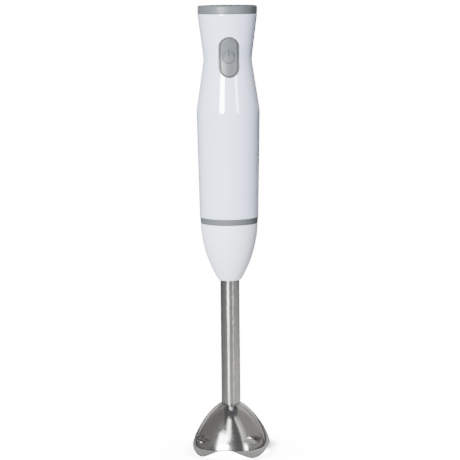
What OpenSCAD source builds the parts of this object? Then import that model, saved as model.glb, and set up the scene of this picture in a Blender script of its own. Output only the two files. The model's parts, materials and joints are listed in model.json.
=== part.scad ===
// Immersion blender with a detachable steel leg.
// Z runs up the axis of the tool, the power button faces -Y, and z = 0 is where the bell's lobes stand.

/* [Handle] */
// Height of the whole tool
total_h = 380; // [372:1:388]
// Radius of the grey top cap
cap_r = 25.1; // [24.8:0.1:25.4]
// Height of the top cap's visible side
cap_h = 7.3; // [6.9:0.1:7.5]
// Radius of the grip at its waist
waist_r = 20.2; // [20.1:0.1:20.5]
// Radius of the handle where it is widest
belly_r = 26.7; // [26.5:0.1:27]
// Radius of the handle at its lower end
handle_foot_r = 24.9; // [24.7:0.1:25.1]
// Wall of the two handle shells
shell_wall = 2.2; // [2:0.1:2.4]

/* [Button] */
// Width of the oval button frame
frame_w = 17.4; // [16.5:0.1:18]
// Height of the oval button frame
frame_h = 34.0; // [32:0.5:35]
// How far the button travels when it is pressed
press = 1.5; // [1:0.1:1.8]

/* [Leg] */
// Level of the joint between handle and lock ring
handle_foot_z = 203.0; // [202.8:0.1:203.4]
// Height of the grey lock ring
ring_h = 5.3; // [5:0.1:5.6]
// Level of the cone's lower end, where the tube comes out
cone_foot_z = 149.0; // [147:0.5:151]
// Outer radius of the steel tube
tube_r = 8.35; // [8.3:0.05:8.4]
// Turn of the ring that locks the leg to the handle
lock_turn = 30; // [28:1:35]

/* [Bell] */
// Mean radius of the bell guard where it is widest
bell_r = 34.0; // [33.6:0.1:34.4]
// Height of the bell guard
bell_h = 42.5; // [42:0.1:43]
// How much the four lobes stand out, as a share of the radius
lobe_gain = 0.025; // [0.02:0.005:0.035]
// Height of the arches between the lobes
arch_h = 8.1; // [6:0.1:9]
// Bearing of the first lobe, measured from +X
lobe_bearing = -56.5; // [-65:0.5:-45]

/* [Blade] */
// Radius that the blade tips sweep
blade_r = 23.5; // [22:0.1:25]
// Thickness of the blade
blade_t = 1.3; // [1:0.1:1.6]

/* [Hidden] */
$fn = 96;
eps = 0.01;
white = [0.90, 0.92, 0.95];
grey = [0.60, 0.63, 0.64];
dark = [0.16, 0.16, 0.17];
steel = [0.72, 0.71, 0.69];
copper = [0.72, 0.42, 0.22];
brass = [0.78, 0.64, 0.34];
bronze = [0.62, 0.48, 0.30];

lobes = 4;
arc_steps = 8;
handle_top_z = total_h - cap_h;
waist_z = 335.4;
belly_z = 292.5;
ring_top_z = handle_foot_z - 0.1;
ring_foot_z = handle_foot_z - ring_h;
cone_top_z = ring_foot_z - 0.1;
cone_top_r = handle_foot_r - 0.6;
cone_mid = [20.5, 173.5];
cone_foot_r = tube_r + 1.4;
tube_wall = 0.8;
tube_bore_r = tube_r - tube_wall;
tube_top_z = 176;
bell_wall = 1.0;

// Spigot under the handle and the socket in the leg that takes it
spigot_r = 16.0;
spigot_bore_r = 11.5;
spigot_foot_z = 183;
spigot_floor_z = 200.5;
flange_z = handle_foot_z + 1.5;
flange_h = 3.0;
socket_r = spigot_r + 0.25;
socket_floor_z = 178;
socket_floor_h = 2.5;
lug_count = 3;
key_r = 14.6;
key_width = 8;
key_foot_z = 186;
key_top_z = 196;

// The leg's neck stands up inside the lock ring, and its lugs pass through notches in the ring's foot
neck_r = 18.2;
neck_top_z = ring_top_z - 1.4;
lug_r = 19.6;
lug_width = 26;
lug_z = ring_foot_z + 1.6;
ring_bore_r = neck_r + 0.25;
ring_floor_h = 1.5;
groove_r = lug_r + 0.25;
groove_top_z = neck_top_z + 0.2;
collar_r = 18.4;
collar_bore_r = 17.2;
collar_bead_r = 19.4;

// Motor
can_r = 18.8;
can_wall = 1.2;
can_z = 217;
can_top_z = 270;
boss_r = 6.5;
boss_z = 214.6;
shaft_r = 2.5;
motor_shaft_foot_z = 190;
motor_shaft_top_z = 285;
core_r = 12.7;
core_z = 224;
core_top_z = 256;
slot_count = 12;
commutator_r = 6.0;
commutator_z = 262.5;
commutator_top_z = 271;
end_bell_top_z = 284;
fan_r = 15.0;
fan_z = 209.5;
fan_h = 4.2;

// Drive line in the leg
drive_r = 3.0;
drive_clearance = 0.05;
drive_foot_z = 14.5;
drive_top_z = 184.6;
coupling_teeth = 6;
cup_foot_z = 181.6;
cup_top_z = 197;
cup_r = 8.6;
male_foot_z = 186;

// Electrical parts behind the button
board_t = 1.6;
board_y = -1.3;
board_w = 26;
board_foot_z = 308;
board_top_z = 359.5;
switch_face_y = -11.5;
plunger_tip_y = -13.1;
button_z = 337.4;

// Fasteners
screw_r = 1.5;
screw_hole_r = 1.75;
screw_head_r = 2.9;
case_screws = [[-15.5, 298], [15.5, 298], [0, 365]];
board_screws = [[-9, 313], [9, 313]];

// Where the cord enters the rear shell
inlet_z = 350;
inlet_r = 3.5;
gland_r = 6.0;
gland_flange_r = 7.0;
gland_face_y = 25.0;
gland_boss_r = 8.6;

// ---------- Geometry helpers ----------

function unit(v) = v / norm(v);
function reversed(list) = [for (i = [len(list) - 1:-1:0]) list[i]];

// Points of the arc of radius r that rounds corner b between a and c.
function rounded_corner(a, b, c, r) =
    let (
        to_a = unit(a - b),
        to_c = unit(c - b),
        half = acos(to_a * to_c) / 2,
        centre = b + unit(to_a + to_c) * r / sin(half),
        start = b + to_a * r / tan(half) - centre,
        finish = b + to_c * r / tan(half) - centre,
        first = atan2(start.y, start.x),
        turn = atan2(finish.y, finish.x) - first,
        sweep = turn > 180 ? turn - 360 : turn < -180 ? turn + 360 : turn
    )
    [for (i = [0:arc_steps]) let (t = first + sweep * i / arc_steps) centre + r * [cos(t), sin(t)]];

// Points of the arc that passes through a, b and c.
function arc_through(a, b, c, steps) =
    let (
        d = 2 * (a.x * (b.y - c.y) + b.x * (c.y - a.y) + c.x * (a.y - b.y)),
        ux = ((a * a) * (b.y - c.y) + (b * b) * (c.y - a.y) + (c * c) * (a.y - b.y)) / d,
        uy = ((a * a) * (c.x - b.x) + (b * b) * (a.x - c.x) + (c * c) * (b.x - a.x)) / d,
        centre = [ux, uy],
        r = norm(a - centre),
        first = atan2(a.y - uy, a.x - ux),
        last = atan2(c.y - uy, c.x - ux)
    )
    [for (i = [0:steps]) let (t = first + (last - first) * i / steps) centre + r * [cos(t), sin(t)]];

module rod(r, z0, z1) {
    translate([0, 0, z0]) cylinder(r = r, h = z1 - z0);
}

module tube(r_out, r_in, z0, z1) {
    difference() {
        rod(r_out, z0, z1);
        rod(r_in, z0 - 1, z1 + 1);
    }
}

// Part of a ring, centred on the bearing mid and width degrees wide.
module sector(r_out, r_in, z0, z1, mid, width) {
    rotate([0, 0, mid - width / 2])
        rotate_extrude(angle = width)
            translate([r_in, z0]) square([r_out - r_in, z1 - z0]);
}

// A rod along Y at x, z.
module cross_rod(r, x, z, y0, y1) {
    translate([x, y0, z]) rotate([-90, 0, 0]) cylinder(r = r, h = y1 - y0);
}

module stadium(w, h) {
    for (s = [-1, 1]) translate([0, s * (h - w) / 2]) circle(d = w);
    square([w, h - w], center = true);
}

// An upright oval bar along Y, centred on the button.
module oval_bar(w, h, y0, y1) {
    translate([0, y1, button_z]) rotate([90, 0, 0]) linear_extrude(y1 - y0) stadium(w, h);
}

module star(r_tip, r_root) {
    points = [for (i = [0:2 * coupling_teeth - 1])
        let (r = i % 2 == 0 ? r_tip : r_root, t = 180 * i / coupling_teeth) r * [cos(t), sin(t)]];
    polygon(points);
}

// A round wire of radius r along a list of points, as one closed mesh. side is never parallel to the path.
module wire(path, r, side, sides = 6) {
    n = len(path);
    rings = [for (i = [0:n - 1])
        let (
            along = unit(path[min(i + 1, n - 1)] - path[max(i - 1, 0)]),
            u = unit(cross(along, side)),
            v = cross(along, u)
        )
        for (k = [0:sides - 1])
            let (t = 360 * k / sides) path[i] + r * (cos(t) * u + sin(t) * v)];
    walls = [for (i = [0:n - 2], k = [0:sides - 1])
        let (a = i * sides + k, b = i * sides + (k + 1) % sides)
        [a, b, b + sides, a + sides]];
    first_end = [for (k = [sides - 1:-1:0]) k];
    last_end = [for (k = [0:sides - 1]) (n - 1) * sides + k];
    polyhedron(points = rings, faces = concat(walls, [first_end, last_end]));
}

// ---------- Handle outline ----------

handle_top = [cap_r, handle_top_z];
waist = [waist_r, waist_z];
belly = [belly_r, belly_z];
handle_foot = [handle_foot_r, handle_foot_z];
waist_blend = 32;
belly_blend = 32;
handle_outline = concat(
    [handle_top],
    rounded_corner(handle_top, waist, belly, waist_blend),
    rounded_corner(waist, belly, handle_foot, belly_blend),
    [handle_foot]
);

// Radius of the handle at height z.
function handle_radius(z) = lookup(z, [for (p = handle_outline) [p.y, p.x]]);

// The handle's outline moved out by gap.
function handle_path(gap) = [for (p = handle_outline) [p.x + gap, p.y]];

// The side profile of the handle between two offsets from its outer surface.
module handle_profile(outer, inner) {
    polygon(concat(handle_path(outer), reversed(handle_path(inner))));
}

// Everything inside the handle's surface, shrunk by depth.
module handle_core(depth) {
    rotate_extrude()
        polygon(concat([[0, handle_top_z]], handle_path(-depth), [[0, handle_foot_z]]));
}

// A curved slab behind the handle's front surface.
module front_band(outer, inner) {
    rotate([0, 0, 210]) rotate_extrude(angle = 120) handle_profile(outer, inner);
}

lip_h = 1.5;
lip_r = collar_r + 0.08;
rib_z = flange_z + flange_h;
rib_h = 0.9;
rib_r = 20.6;

// Half of the handle's wall with the lip and rib that hold the spigot's flange.
module half_shell() {
    rotate_extrude(angle = 180) handle_profile(0, -shell_wall);
    rotate_extrude(angle = 180)
        translate([lip_r, handle_foot_z]) square([handle_foot_r - lip_r - 1, lip_h]);
    rotate_extrude(angle = 180)
        translate([rib_r, rib_z]) square([handle_foot_r - rib_r - 1, rib_h]);
}

boss_wall = 1.9;

// A screw post that runs from seam_y out to the shell.
module post(x, z, r, seam_y, far_y) {
    intersection() {
        handle_core(shell_wall / 2);
        cross_rod(r, x, z, min(seam_y, far_y), max(seam_y, far_y));
    }
}

// ---------- Handle ----------

cap_skirt_r = 22.3;
cap_skirt_h = 2.2;
cap_wall = 2.0;
cap_edge_r = 1.8;
cap_groove = 0.4;

module top_cap() {
    edge = [for (i = [0:arc_steps])
        let (t = 90 * i / arc_steps)
        [cap_r - cap_edge_r + cap_edge_r * cos(t), total_h - cap_edge_r + cap_edge_r * sin(t)]];
    color(grey)
        rotate_extrude()
            polygon(concat(
                [
                    [0, total_h - cap_wall],
                    [cap_skirt_r - cap_wall, total_h - cap_wall],
                    [cap_skirt_r - cap_wall, handle_top_z - cap_skirt_h],
                    [cap_skirt_r, handle_top_z - cap_skirt_h],
                    [cap_skirt_r, handle_top_z],
                    [cap_r - cap_groove, handle_top_z],
                    [cap_r - cap_groove, handle_top_z + cap_groove],
                    [cap_r, handle_top_z + cap_groove],
                ],
                edge,
                [[0, total_h]]
            ));
}

frame_clearance = 0.05;

module front_shell() {
    color(white)
        difference() {
            union() {
                rotate([0, 0, 180]) half_shell();
                for (s = case_screws) post(s.x, s[1], screw_r + boss_wall, 0, -handle_foot_r - 4);
            }
            oval_bar(frame_w + 2 * frame_clearance, frame_h + 2 * frame_clearance, -40, -10);
            for (s = case_screws) cross_rod(screw_r, s.x, s[1], -screw_depth, 1);
        }
}

screw_depth = 9;
screw_seat_y = 12;
head_h = 2.0;
vent_w = 2.0;
exhaust_z = 209.6;
exhaust_h = 4.4;
exhaust_bearings = [30:12:150];
intake_levels = [318:5:333];
intake_w = 15;
intake_h = 1.8;
board_back_y = board_y + board_t;

module rear_shell() {
    color(white)
        difference() {
            union() {
                half_shell();
                for (s = case_screws) post(s.x, s[1], screw_head_r + boss_wall, 0, 40);
                for (s = board_screws) post(s.x, s[1], screw_r + boss_wall, board_back_y, 40);
                intersection() {
                    cross_rod(gland_boss_r, 0, inlet_z, 14, gland_face_y - 1);
                    rod(gland_face_y + 2, inlet_z - 12, inlet_z + 12);
                }
            }
            for (s = case_screws) {
                cross_rod(screw_hole_r, s.x, s[1], -1, 30);
                cross_rod(screw_head_r + 0.2, s.x, s[1], screw_seat_y, 40);
            }
            for (s = board_screws) cross_rod(screw_r, s.x, s[1], -1, 12);
            cross_rod(gland_r, 0, inlet_z, 0, 40);
            for (b = exhaust_bearings)
                rotate([0, 0, b])
                    translate([15, -vent_w / 2, exhaust_z]) cube([20, vent_w, exhaust_h]);
            for (z = intake_levels)
                translate([-intake_w / 2, 10, z]) cube([intake_w, 20, intake_h]);
        }
}

// One pan-head screw along Y with its head at seat_y and its tip at tip_y.
module screw(x, z, seat_y, tip_y) {
    difference() {
        union() {
            cross_rod(screw_r, x, z, tip_y, seat_y + eps);
            cross_rod(screw_head_r, x, z, seat_y, seat_y + head_h);
        }
        for (a = [0, 90])
            translate([x, seat_y + head_h, z]) rotate([0, a, 0]) cube([3.4, 2, 0.7], center = true);
    }
}

module all_case_screws() {
    color(steel) for (s = case_screws) screw(s.x, s[1], screw_seat_y, 1 - screw_depth);
}

// ---------- Button and switch ----------

frame_rim = 1.15;
frame_flange = 1.3;
frame_back = shell_wall + 1.3;
button_gap = 0.25;
button_w = frame_w - 2 * frame_rim - 2 * button_gap;
button_h = frame_h - 2 * frame_rim - 2 * button_gap;
button_proud = 0.9;
stem_r = 2.2;

module button_frame() {
    color(grey)
        difference() {
            union() {
                intersection() {
                    oval_bar(frame_w, frame_h, -40, -10);
                    front_band(0.15, -frame_back);
                }
                intersection() {
                    oval_bar(frame_w + 2 * frame_flange, frame_h + 2 * frame_flange, -40, -10);
                    front_band(-shell_wall - frame_clearance, -frame_back);
                }
            }
            oval_bar(frame_w - 2 * frame_rim, frame_h - 2 * frame_rim, -41, -9);
        }
}

button_back = frame_back + 1.6;

module power_button() {
    color(grey) {
        intersection() {
            oval_bar(button_w, button_h, -40, -10);
            front_band(button_proud, -button_back);
        }
        intersection() {
            oval_bar(button_w + 2, button_h + 2, -40, -8);
            front_band(-frame_back - frame_clearance, -button_back);
        }
        cross_rod(stem_r, 0, button_z, -waist_r + button_back - 1, plunger_tip_y - frame_clearance);
    }
}

spring_r = 3.4;
spring_wire_r = 0.35;
spring_turns = 2.5;
coil_steps = 14;
spring_seat_y = switch_face_y - spring_wire_r - 0.05;
spring_front_y = -waist_r + button_back + spring_wire_r + 0.4;

module button_spring() {
    turns = [for (i = [0:coil_steps * spring_turns])
        let (t = 360 * i / coil_steps, y = spring_front_y
            + (spring_seat_y - spring_front_y) * i / (coil_steps * spring_turns))
        [spring_r * cos(t), y, button_z + spring_r * sin(t)]];
    color(steel) wire(turns, spring_wire_r, [0, 1, 0]);
}

plunger_r = 1.5;
plunger_bore_r = plunger_r + drive_clearance;
plunger_back_y = -9.6;
plunger_bore_y = plunger_back_y + press + 0.4;

module switch_plunger() {
    color(grey) cross_rod(plunger_r, 0, button_z, plunger_tip_y, plunger_back_y);
}

switch_w = 12;
switch_h = 19.8;

module switch_body() {
    color(dark)
        difference() {
            translate([-switch_w / 2, switch_face_y, button_z - switch_h / 2])
                cube([switch_w, board_y - switch_face_y, switch_h]);
            cross_rod(plunger_bore_r, 0, button_z, switch_face_y - 1, plunger_bore_y);
        }
}

module circuit_board() {
    color([0.16, 0.36, 0.24])
        difference() {
            translate([-board_w / 2, board_y, board_foot_z])
                cube([board_w, board_t, board_top_z - board_foot_z]);
            for (s = board_screws) cross_rod(screw_hole_r, s.x, s[1], -5, 5);
        }
}

module all_board_screws() {
    color(steel)
        for (s = board_screws)
            translate([s.x, board_y, s[1]])
                rotate([0, 0, 180])
                    translate([-s.x, 0, -s[1]]) screw(s.x, s[1], 0, -8);
}

module bridge_rectifier() {
    color(dark) translate([-11, board_back_y, 337]) cube([8, 6.5, 7]);
}

module suppression_capacitor() {
    color([0.85, 0.72, 0.25]) translate([-11, board_back_y, 321]) cube([17, 7, 12]);
}

module terminal_block() {
    color([0.2, 0.5, 0.35])
        difference() {
            translate([-1, board_back_y, 337]) cube([11, 8, 7.5]);
            for (x = [2, 7]) cross_rod(1.1, x, 340.5, 3, 12);
        }
}

lead_r = 0.75;
lead_start_z = board_foot_z - 0.2;
lead_end_z = 288.3;

// Point of a cubic curve through four control points.
function bezier(p, t) =
    pow(1 - t, 3) * p[0] + 3 * t * pow(1 - t, 2) * p[1] + 3 * t * t * (1 - t) * p[2] + pow(t, 3) * p[3];

module motor_leads() {
    steps = 12;
    for (s = [-1, 1])
        let (
            top = [5 * s, -0.5, lead_start_z],
            foot = [terminal_x * s, 0, lead_end_z],
            p = [top, top - [0, 0, 12], foot + [0, 0, 5], foot]
        )
        color(s < 0 ? [0.7, 0.1, 0.1] : dark)
            wire([for (i = [0:steps]) bezier(p, i / steps)], lead_r, [0, 1, 0.2]);
}

module cord_gland() {
    color(dark)
        difference() {
            union() {
                cross_rod(gland_r - 0.02, 0, inlet_z, 15, gland_face_y);
                cross_rod(gland_flange_r, 0, inlet_z, gland_face_y - 1, gland_face_y + 1);
            }
            cross_rod(inlet_r, 0, inlet_z, 10, 40);
        }
}

// ---------- Motor ----------

mount_foot_z = 215.4;
mount_top_z = 223;
upper_mount_z = 270.5;
upper_mount_top_z = 275.5;

// A rubber ring that fills the space between the handle's wall and the motor.
module rubber_ring(r_in, z0, z1) {
    gap = shell_wall + 0.05;
    rotate_extrude()
        polygon([[r_in, z0], [handle_radius(z0) - gap, z0], [handle_radius(z1) - gap, z1], [r_in, z1]]);
}

module lower_motor_mount() {
    color(dark)
        difference() {
            union() {
                rubber_ring(can_r + 0.02, can_z, mount_top_z);
                rubber_ring(15.8, mount_foot_z, can_z);
            }
            for (b = [0:60:300])
                rotate([0, 0, b]) translate([20.8, 0, 0]) rod(1.2, mount_foot_z - 1, mount_top_z + 1);
        }
}

module upper_motor_mount() {
    color(dark) rubber_ring(can_r + 0.02, upper_mount_z, upper_mount_top_z);
}

module motor_can() {
    color([0.62, 0.63, 0.64])
        difference() {
            union() {
                rod(can_r, can_z, can_top_z);
                rod(boss_r, boss_z, can_z + eps);
            }
            rod(can_r - can_wall, can_z + can_wall, can_top_z + 1);
            rod(bearing_r, boss_z - 1, can_z + 5);
            for (b = [0:60:300])
                sector(15.5, 10, can_z - 1, can_z + 3, b, 26);
        }
}

magnet_r = can_r - can_wall - 0.05;
magnet_bore_r = 13.2;

module field_magnets() {
    color([0.25, 0.25, 0.27])
        for (b = [0, 180]) sector(magnet_r, magnet_bore_r, core_z - 1, core_top_z + 1, b, 140);
}

bearing_r = 5.0;
holder_r = 9.2;
brush_w = 4;
brush_h = 5;
brush_z = 264.5;
brush_gap = 0.3;
brush_len = 6;
tower_z = end_bell_top_z - 8;
holder_in_x = commutator_r + 1;
holder_out_x = 17.2;
channel_end_x = 16.3;
terminal_x = 11.5;
terminal_foot_z = 271;

module brush_end_bell() {
    color([0.85, 0.83, 0.76])
        difference() {
            union() {
                tube(can_r, can_r - 1.8, can_top_z, tower_z);
                tube(can_r - can_wall - 0.1, can_r - 2.4, can_top_z - 3, can_top_z + 1);
                rod(can_r, tower_z - 2, tower_z);
                rod(holder_r, tower_z - 1, end_bell_top_z);
                for (s = [-1, 1])
                    translate([s > 0 ? holder_in_x : -holder_out_x, -brush_w / 2 - 1.4, brush_z - 1.4])
                        cube([holder_out_x - holder_in_x, brush_w + 2.8, tower_z - brush_z + 1]);
            }
            rod(bearing_r, tower_z + 2, end_bell_top_z + 1);
            rod(shaft_r + 0.6, tower_z - 5, end_bell_top_z);
            rod(commutator_r + 0.6, 255, commutator_top_z + 0.5);
            for (s = [-1, 1])
                translate([s > 0 ? 0 : -channel_end_x, -brush_w / 2 - 0.1, brush_z - 0.1])
                    cube([channel_end_x, brush_w + 0.2, brush_h + 0.2]);
            for (s = [-1, 1]) translate([terminal_x * s, 0, 0]) terminal_blade(0.05);
        }
}

// A flat terminal, made wider by gap all round.
module terminal_blade(gap) {
    translate([-0.4 - gap, -2.4 - gap, terminal_foot_z - gap])
        cube([0.8 + 2 * gap, 4.8 + 2 * gap, lead_end_z - 0.3 - terminal_foot_z]);
}

module carbon_brushes() {
    color([0.12, 0.12, 0.12])
        for (s = [-1, 1])
            difference() {
                translate([s > 0 ? commutator_r - 0.8 : -commutator_r - brush_len, -brush_w / 2, brush_z])
                    cube([brush_len + 0.8, brush_w, brush_h]);
                rod(commutator_r + brush_gap, brush_z - 1, brush_z + brush_h + 1);
            }
}

module brush_springs() {
    turns = 3;
    reach = 3.6;
    color(steel)
        for (s = [-1, 1])
            wire([for (i = [0:12 * turns])
                let (t = 30 * i)
                [s * (commutator_r + brush_len + 0.4 + reach * i / (12 * turns)), 1.4 * cos(t),
                 brush_z + brush_h / 2 + 1.4 * sin(t)]], 0.25, [1, 0, 0]);
}

module motor_terminals() {
    color(brass)
        for (s = [-1, 1]) translate([terminal_x * s, 0, 0])
            terminal_blade(0);
}

module upper_motor_bearing() {
    color(bronze) tube(bearing_r - 0.02, shaft_r + drive_clearance, tower_z + 2, end_bell_top_z - 0.5);
}

module lower_motor_bearing() {
    color(bronze) tube(bearing_r - 0.02, shaft_r + drive_clearance, boss_z, can_z + can_wall);
}

module motor_shaft() {
    color(steel) rod(shaft_r, motor_shaft_foot_z, motor_shaft_top_z);
}

// A stack of laminations with slots for the coils.
module armature_core() {
    color([0.45, 0.46, 0.48])
        difference() {
            rod(core_r, core_z, core_top_z);
            rod(shaft_r, core_z - 1, core_top_z + 1);
            for (i = [0:slot_count - 1])
                rotate([0, 0, i * 360 / slot_count]) {
                    translate([6.2, -1.5, core_z - 1]) cube([4.8, 3, core_top_z - core_z + 2]);
                    translate([10, -0.7, core_z - 1]) cube([5, 1.4, core_top_z - core_z + 2]);
                }
        }
}

winding_r = 11.0;
winding_bore_r = 3.2;
winding_h = 4.6;

module coil_end(z0) {
    rotate_extrude()
        polygon([
            [winding_bore_r, z0], [winding_r - 1.5, z0], [winding_r, z0 + 1.2],
            [winding_r, z0 + winding_h - 1.2], [winding_r - 1.5, z0 + winding_h],
            [winding_bore_r, z0 + winding_h],
        ]);
}

module armature_windings() {
    color(copper) {
        coil_end(core_z - winding_h);
        coil_end(core_top_z);
        for (i = [0:slot_count - 1])
            rotate([0, 0, i * 360 / slot_count])
                translate([6.3, -1.35, core_z - eps]) cube([4.6, 2.7, core_top_z - core_z + 2 * eps]);
    }
}

module commutator() {
    color(copper)
        difference() {
            rod(commutator_r, commutator_z, commutator_top_z);
            rod(shaft_r, commutator_z - 1, commutator_top_z + 1);
            for (i = [0:slot_count - 1])
                rotate([0, 0, (i + 0.5) * 360 / slot_count])
                    translate([commutator_r - 1, -0.2, commutator_z - 1])
                        cube([2, 0.4, commutator_top_z - commutator_z + 2]);
        }
}

fan_blades = 11;

module cooling_fan() {
    color(grey)
        difference() {
            union() {
                rod(4.6, fan_z, fan_z + fan_h);
                rod(fan_r, fan_z, fan_z + 1);
                for (i = [0:fan_blades - 1])
                    rotate([0, 0, i * 360 / fan_blades])
                        translate([4, -0.4, fan_z]) cube([fan_r - 4.6, 0.8, fan_h]);
            }
            rod(shaft_r, fan_z - 1, fan_z + fan_h + 1);
        }
}

star_tip_r = 5.2;
star_root_r = 4.0;
star_gap = 0.2;
dog_hub_z = 198.2;

module drive_dog() {
    color(dark)
        difference() {
            union() {
                translate([0, 0, male_foot_z]) linear_extrude(dog_hub_z - male_foot_z + eps) star(star_tip_r, star_root_r);
                rod(6.4, dog_hub_z, dog_hub_z + 1.8);
            }
            rod(shaft_r, motor_shaft_foot_z, dog_hub_z + 9);
        }
}

// ---------- Spigot and lock ring ----------

module leg_spigot() {
    recess_r = collar_bead_r + 0.3;
    color(grey)
        difference() {
            union() {
                rod(spigot_r, spigot_foot_z, flange_z + eps);
                rod(handle_foot_r - shell_wall - 0.4, flange_z, flange_z + flange_h);
            }
            tube(recess_r, spigot_r + 0.8, flange_z - 1, flange_z + 1.3);
            rod(spigot_bore_r, spigot_foot_z - 1, spigot_floor_z);
            rod(spigot_bore_r - 2, spigot_floor_z - 1, flange_z);
            rod(4, spigot_floor_z - 1, flange_z + flange_h + 1);
            for (i = [0:lug_count - 1])
                sector(spigot_r + 3, key_r - 0.2, spigot_foot_z - 1, key_top_z + 0.6,
                    i * 360 / lug_count, key_width + 3);
        }
}

ring_chamfer = 0.3;

module lock_ring() {
    bead_z = flange_z + 0.1;
    top_r = handle_foot_r - 0.05;
    color(grey)
        difference() {
            rotate_extrude()
                polygon([
                    [ring_bore_r, ring_foot_z], [cone_top_r - ring_chamfer, ring_foot_z],
                    [cone_top_r, ring_foot_z + ring_chamfer], [top_r, ring_top_z - ring_chamfer],
                    [top_r - ring_chamfer, ring_top_z], [collar_r, ring_top_z], [collar_r, bead_z],
                    [collar_bead_r, bead_z], [collar_bead_r, bead_z + 0.9],
                    [collar_bore_r, bead_z + 0.9], [collar_bore_r, groove_top_z],
                    [groove_r, groove_top_z], [groove_r, ring_foot_z + ring_floor_h],
                    [ring_bore_r, ring_foot_z + ring_floor_h],
                ]);
            for (i = [0:lug_count - 1])
                sector(lug_r + 0.15, ring_bore_r - 1, ring_foot_z - 1, ring_foot_z + ring_floor_h + 0.5,
                    i * 360 / lug_count, lug_width + 4);
        }
}

// ---------- Leg ----------

cone_wall = 2.2;
cone_grip_h = 16;
cone_arc = arc_through([cone_top_r, cone_top_z], cone_mid, [cone_foot_r, cone_foot_z], 20);
cone_inner = [for (p = cone_arc) if (p.y > cone_foot_z + 5) p - [cone_wall, 0]];

module leg_cone() {
    sleeve = [
        [tube_r + 1.6, cone_foot_z + 5], [tube_r + 1.6, cone_foot_z + cone_grip_h],
        [tube_r + 0.02, cone_foot_z + cone_grip_h], [tube_r + 0.02, cone_foot_z],
    ];
    color(white) rotate_extrude() polygon(concat(cone_arc, reversed(sleeve), reversed(cone_inner)));
}

module leg_socket() {
    lid_z = cone_top_z - 2.6;
    lid_r = 21.6;
    hub_r = tube_bore_r - 0.05;
    hub_foot_z = 160;
    hub_bore_r = drive_r + 0.6;
    floor_z = socket_floor_z + socket_floor_h;
    color(grey) {
        rotate_extrude()
            polygon([
                [bush_r, hub_foot_z], [hub_r, hub_foot_z], [hub_r, socket_floor_z], [neck_r, socket_floor_z],
                [neck_r, lid_z], [lid_r, lid_z], [lid_r, cone_top_z], [neck_r, cone_top_z],
                [neck_r, neck_top_z], [socket_r, neck_top_z], [socket_r, floor_z], [hub_bore_r, floor_z],
                [hub_bore_r, bush_top_z], [bush_r, bush_top_z],
            ]);
        for (i = [0:lug_count - 1]) {
            bearing = i * 360 / lug_count;
            sector(lug_r, neck_r - 0.3, lug_z, neck_top_z - 0.1, bearing, lug_width);
            sector(socket_r + 0.6, key_r, key_foot_z, key_top_z, bearing, key_width);
        }
    }
}

bush_r = 4.8;
bush_top_z = 174;
bush_h = 13;

module upper_shaft_bush() {
    color(bronze) tube(bush_r - 0.02, drive_r + drive_clearance, bush_top_z - bush_h, bush_top_z);
}

module leg_tube() {
    color(steel) tube(tube_r, tube_bore_r, bell_h, tube_top_z);
}

// Outer radius of the bell at height z, before the lobes.
bell_widest_z = 7;
bell_power_r = 1.3;
bell_power_z = 1.4;
bell_taper = 0.05;
function bell_radius(z) =
    let (
        u = max(0, min(1, (z - bell_widest_z) / (bell_h - bell_widest_z))),
        below = max(0, 1 - z / bell_widest_z)
    )
    tube_r + (bell_r - tube_r) * pow(1 - pow(u, bell_power_z), 1 / bell_power_r)
    - bell_r * bell_taper * pow(below, 1.6);

// Share of the full lobe height that the wall has at height z.
function lobe_share(z) = let (t = max(0, min(1, (bell_h - z) / 22))) t * t * (3 - 2 * t);
function rim_height(bearing) = arch_h * (1 - cos(lobes * (bearing - lobe_bearing))) / 2;

bell_steps = 48;
bell_rows = 13;

// A point of the bell's outer surface, from the tube (t = 0) to the rim (t = 1).
function bell_point(t, bearing) =
    let (
        z = bell_h - (bell_h - rim_height(bearing)) * t,
        r = bell_radius(z) * (1 + lobe_gain * lobe_share(z) * cos(lobes * (bearing - lobe_bearing)))
    )
    [r, z];

// The point one wall under bell_point, square to the surface.
function bell_inside(t, bearing) =
    let (
        step = 0.02,
        a = bell_point(max(0, t - step), bearing),
        b = bell_point(min(1, t + step), bearing),
        along = unit(b - a),
        p = bell_point(t, bearing)
    )
    t > 0.999 ? p - [bell_wall, 0] : p + bell_wall * [along.y, -along.x];

module bell_surface() {
    bearings = [for (k = [0:bell_steps - 1]) lobe_bearing + 360 * k / bell_steps];
    shares = [for (i = [0:bell_rows]) pow(i / bell_rows, 1.6)];
    outside = [for (t = shares) [for (b = bearings) bell_point(t, b)]];
    inside = [for (i = [bell_rows:-1:1]) [for (b = bearings) bell_inside(shares[i], b)]];
    neck = [for (p = [[tube_bore_r, bell_h - bell_wall], [tube_bore_r, bell_h]]) [for (b = bearings) p]];
    rows = concat(outside, inside, neck);
    points = [for (row = rows, k = [0:bell_steps - 1])
        [row[k].x * cos(bearings[k]), row[k].x * sin(bearings[k]), row[k].y]];
    faces = [for (i = [0:len(rows) - 1], k = [0:bell_steps - 1])
        let (
            next_row = (i + 1) % len(rows),
            next = (k + 1) % bell_steps
        )
        [i * bell_steps + next, i * bell_steps + k, next_row * bell_steps + k, next_row * bell_steps + next]];
    polyhedron(points = points, faces = faces);
}

slot_len = 19.5;
slot_h = 6.6;
slot_z = 15.5;

// A lens-shaped bar that cuts the flow slot of the lobe on a bearing.
module lens_bar(bearing) {
    r = (slot_len * slot_len / 4 + slot_h * slot_h / 4) / slot_h;
    rotate([0, 0, bearing])
        translate([20, 0, slot_z])
            rotate([90, 0, 90])
                linear_extrude(30)
                    intersection() {
                        translate([0, r - slot_h / 2]) circle(r = r);
                        translate([0, slot_h / 2 - r]) circle(r = r);
                    }
}

module bell_guard() {
    color(steel)
        difference() {
            bell_surface();
            for (i = [0:lobes - 1]) lens_bar(lobe_bearing + i * 360 / lobes);
        }
}

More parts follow.
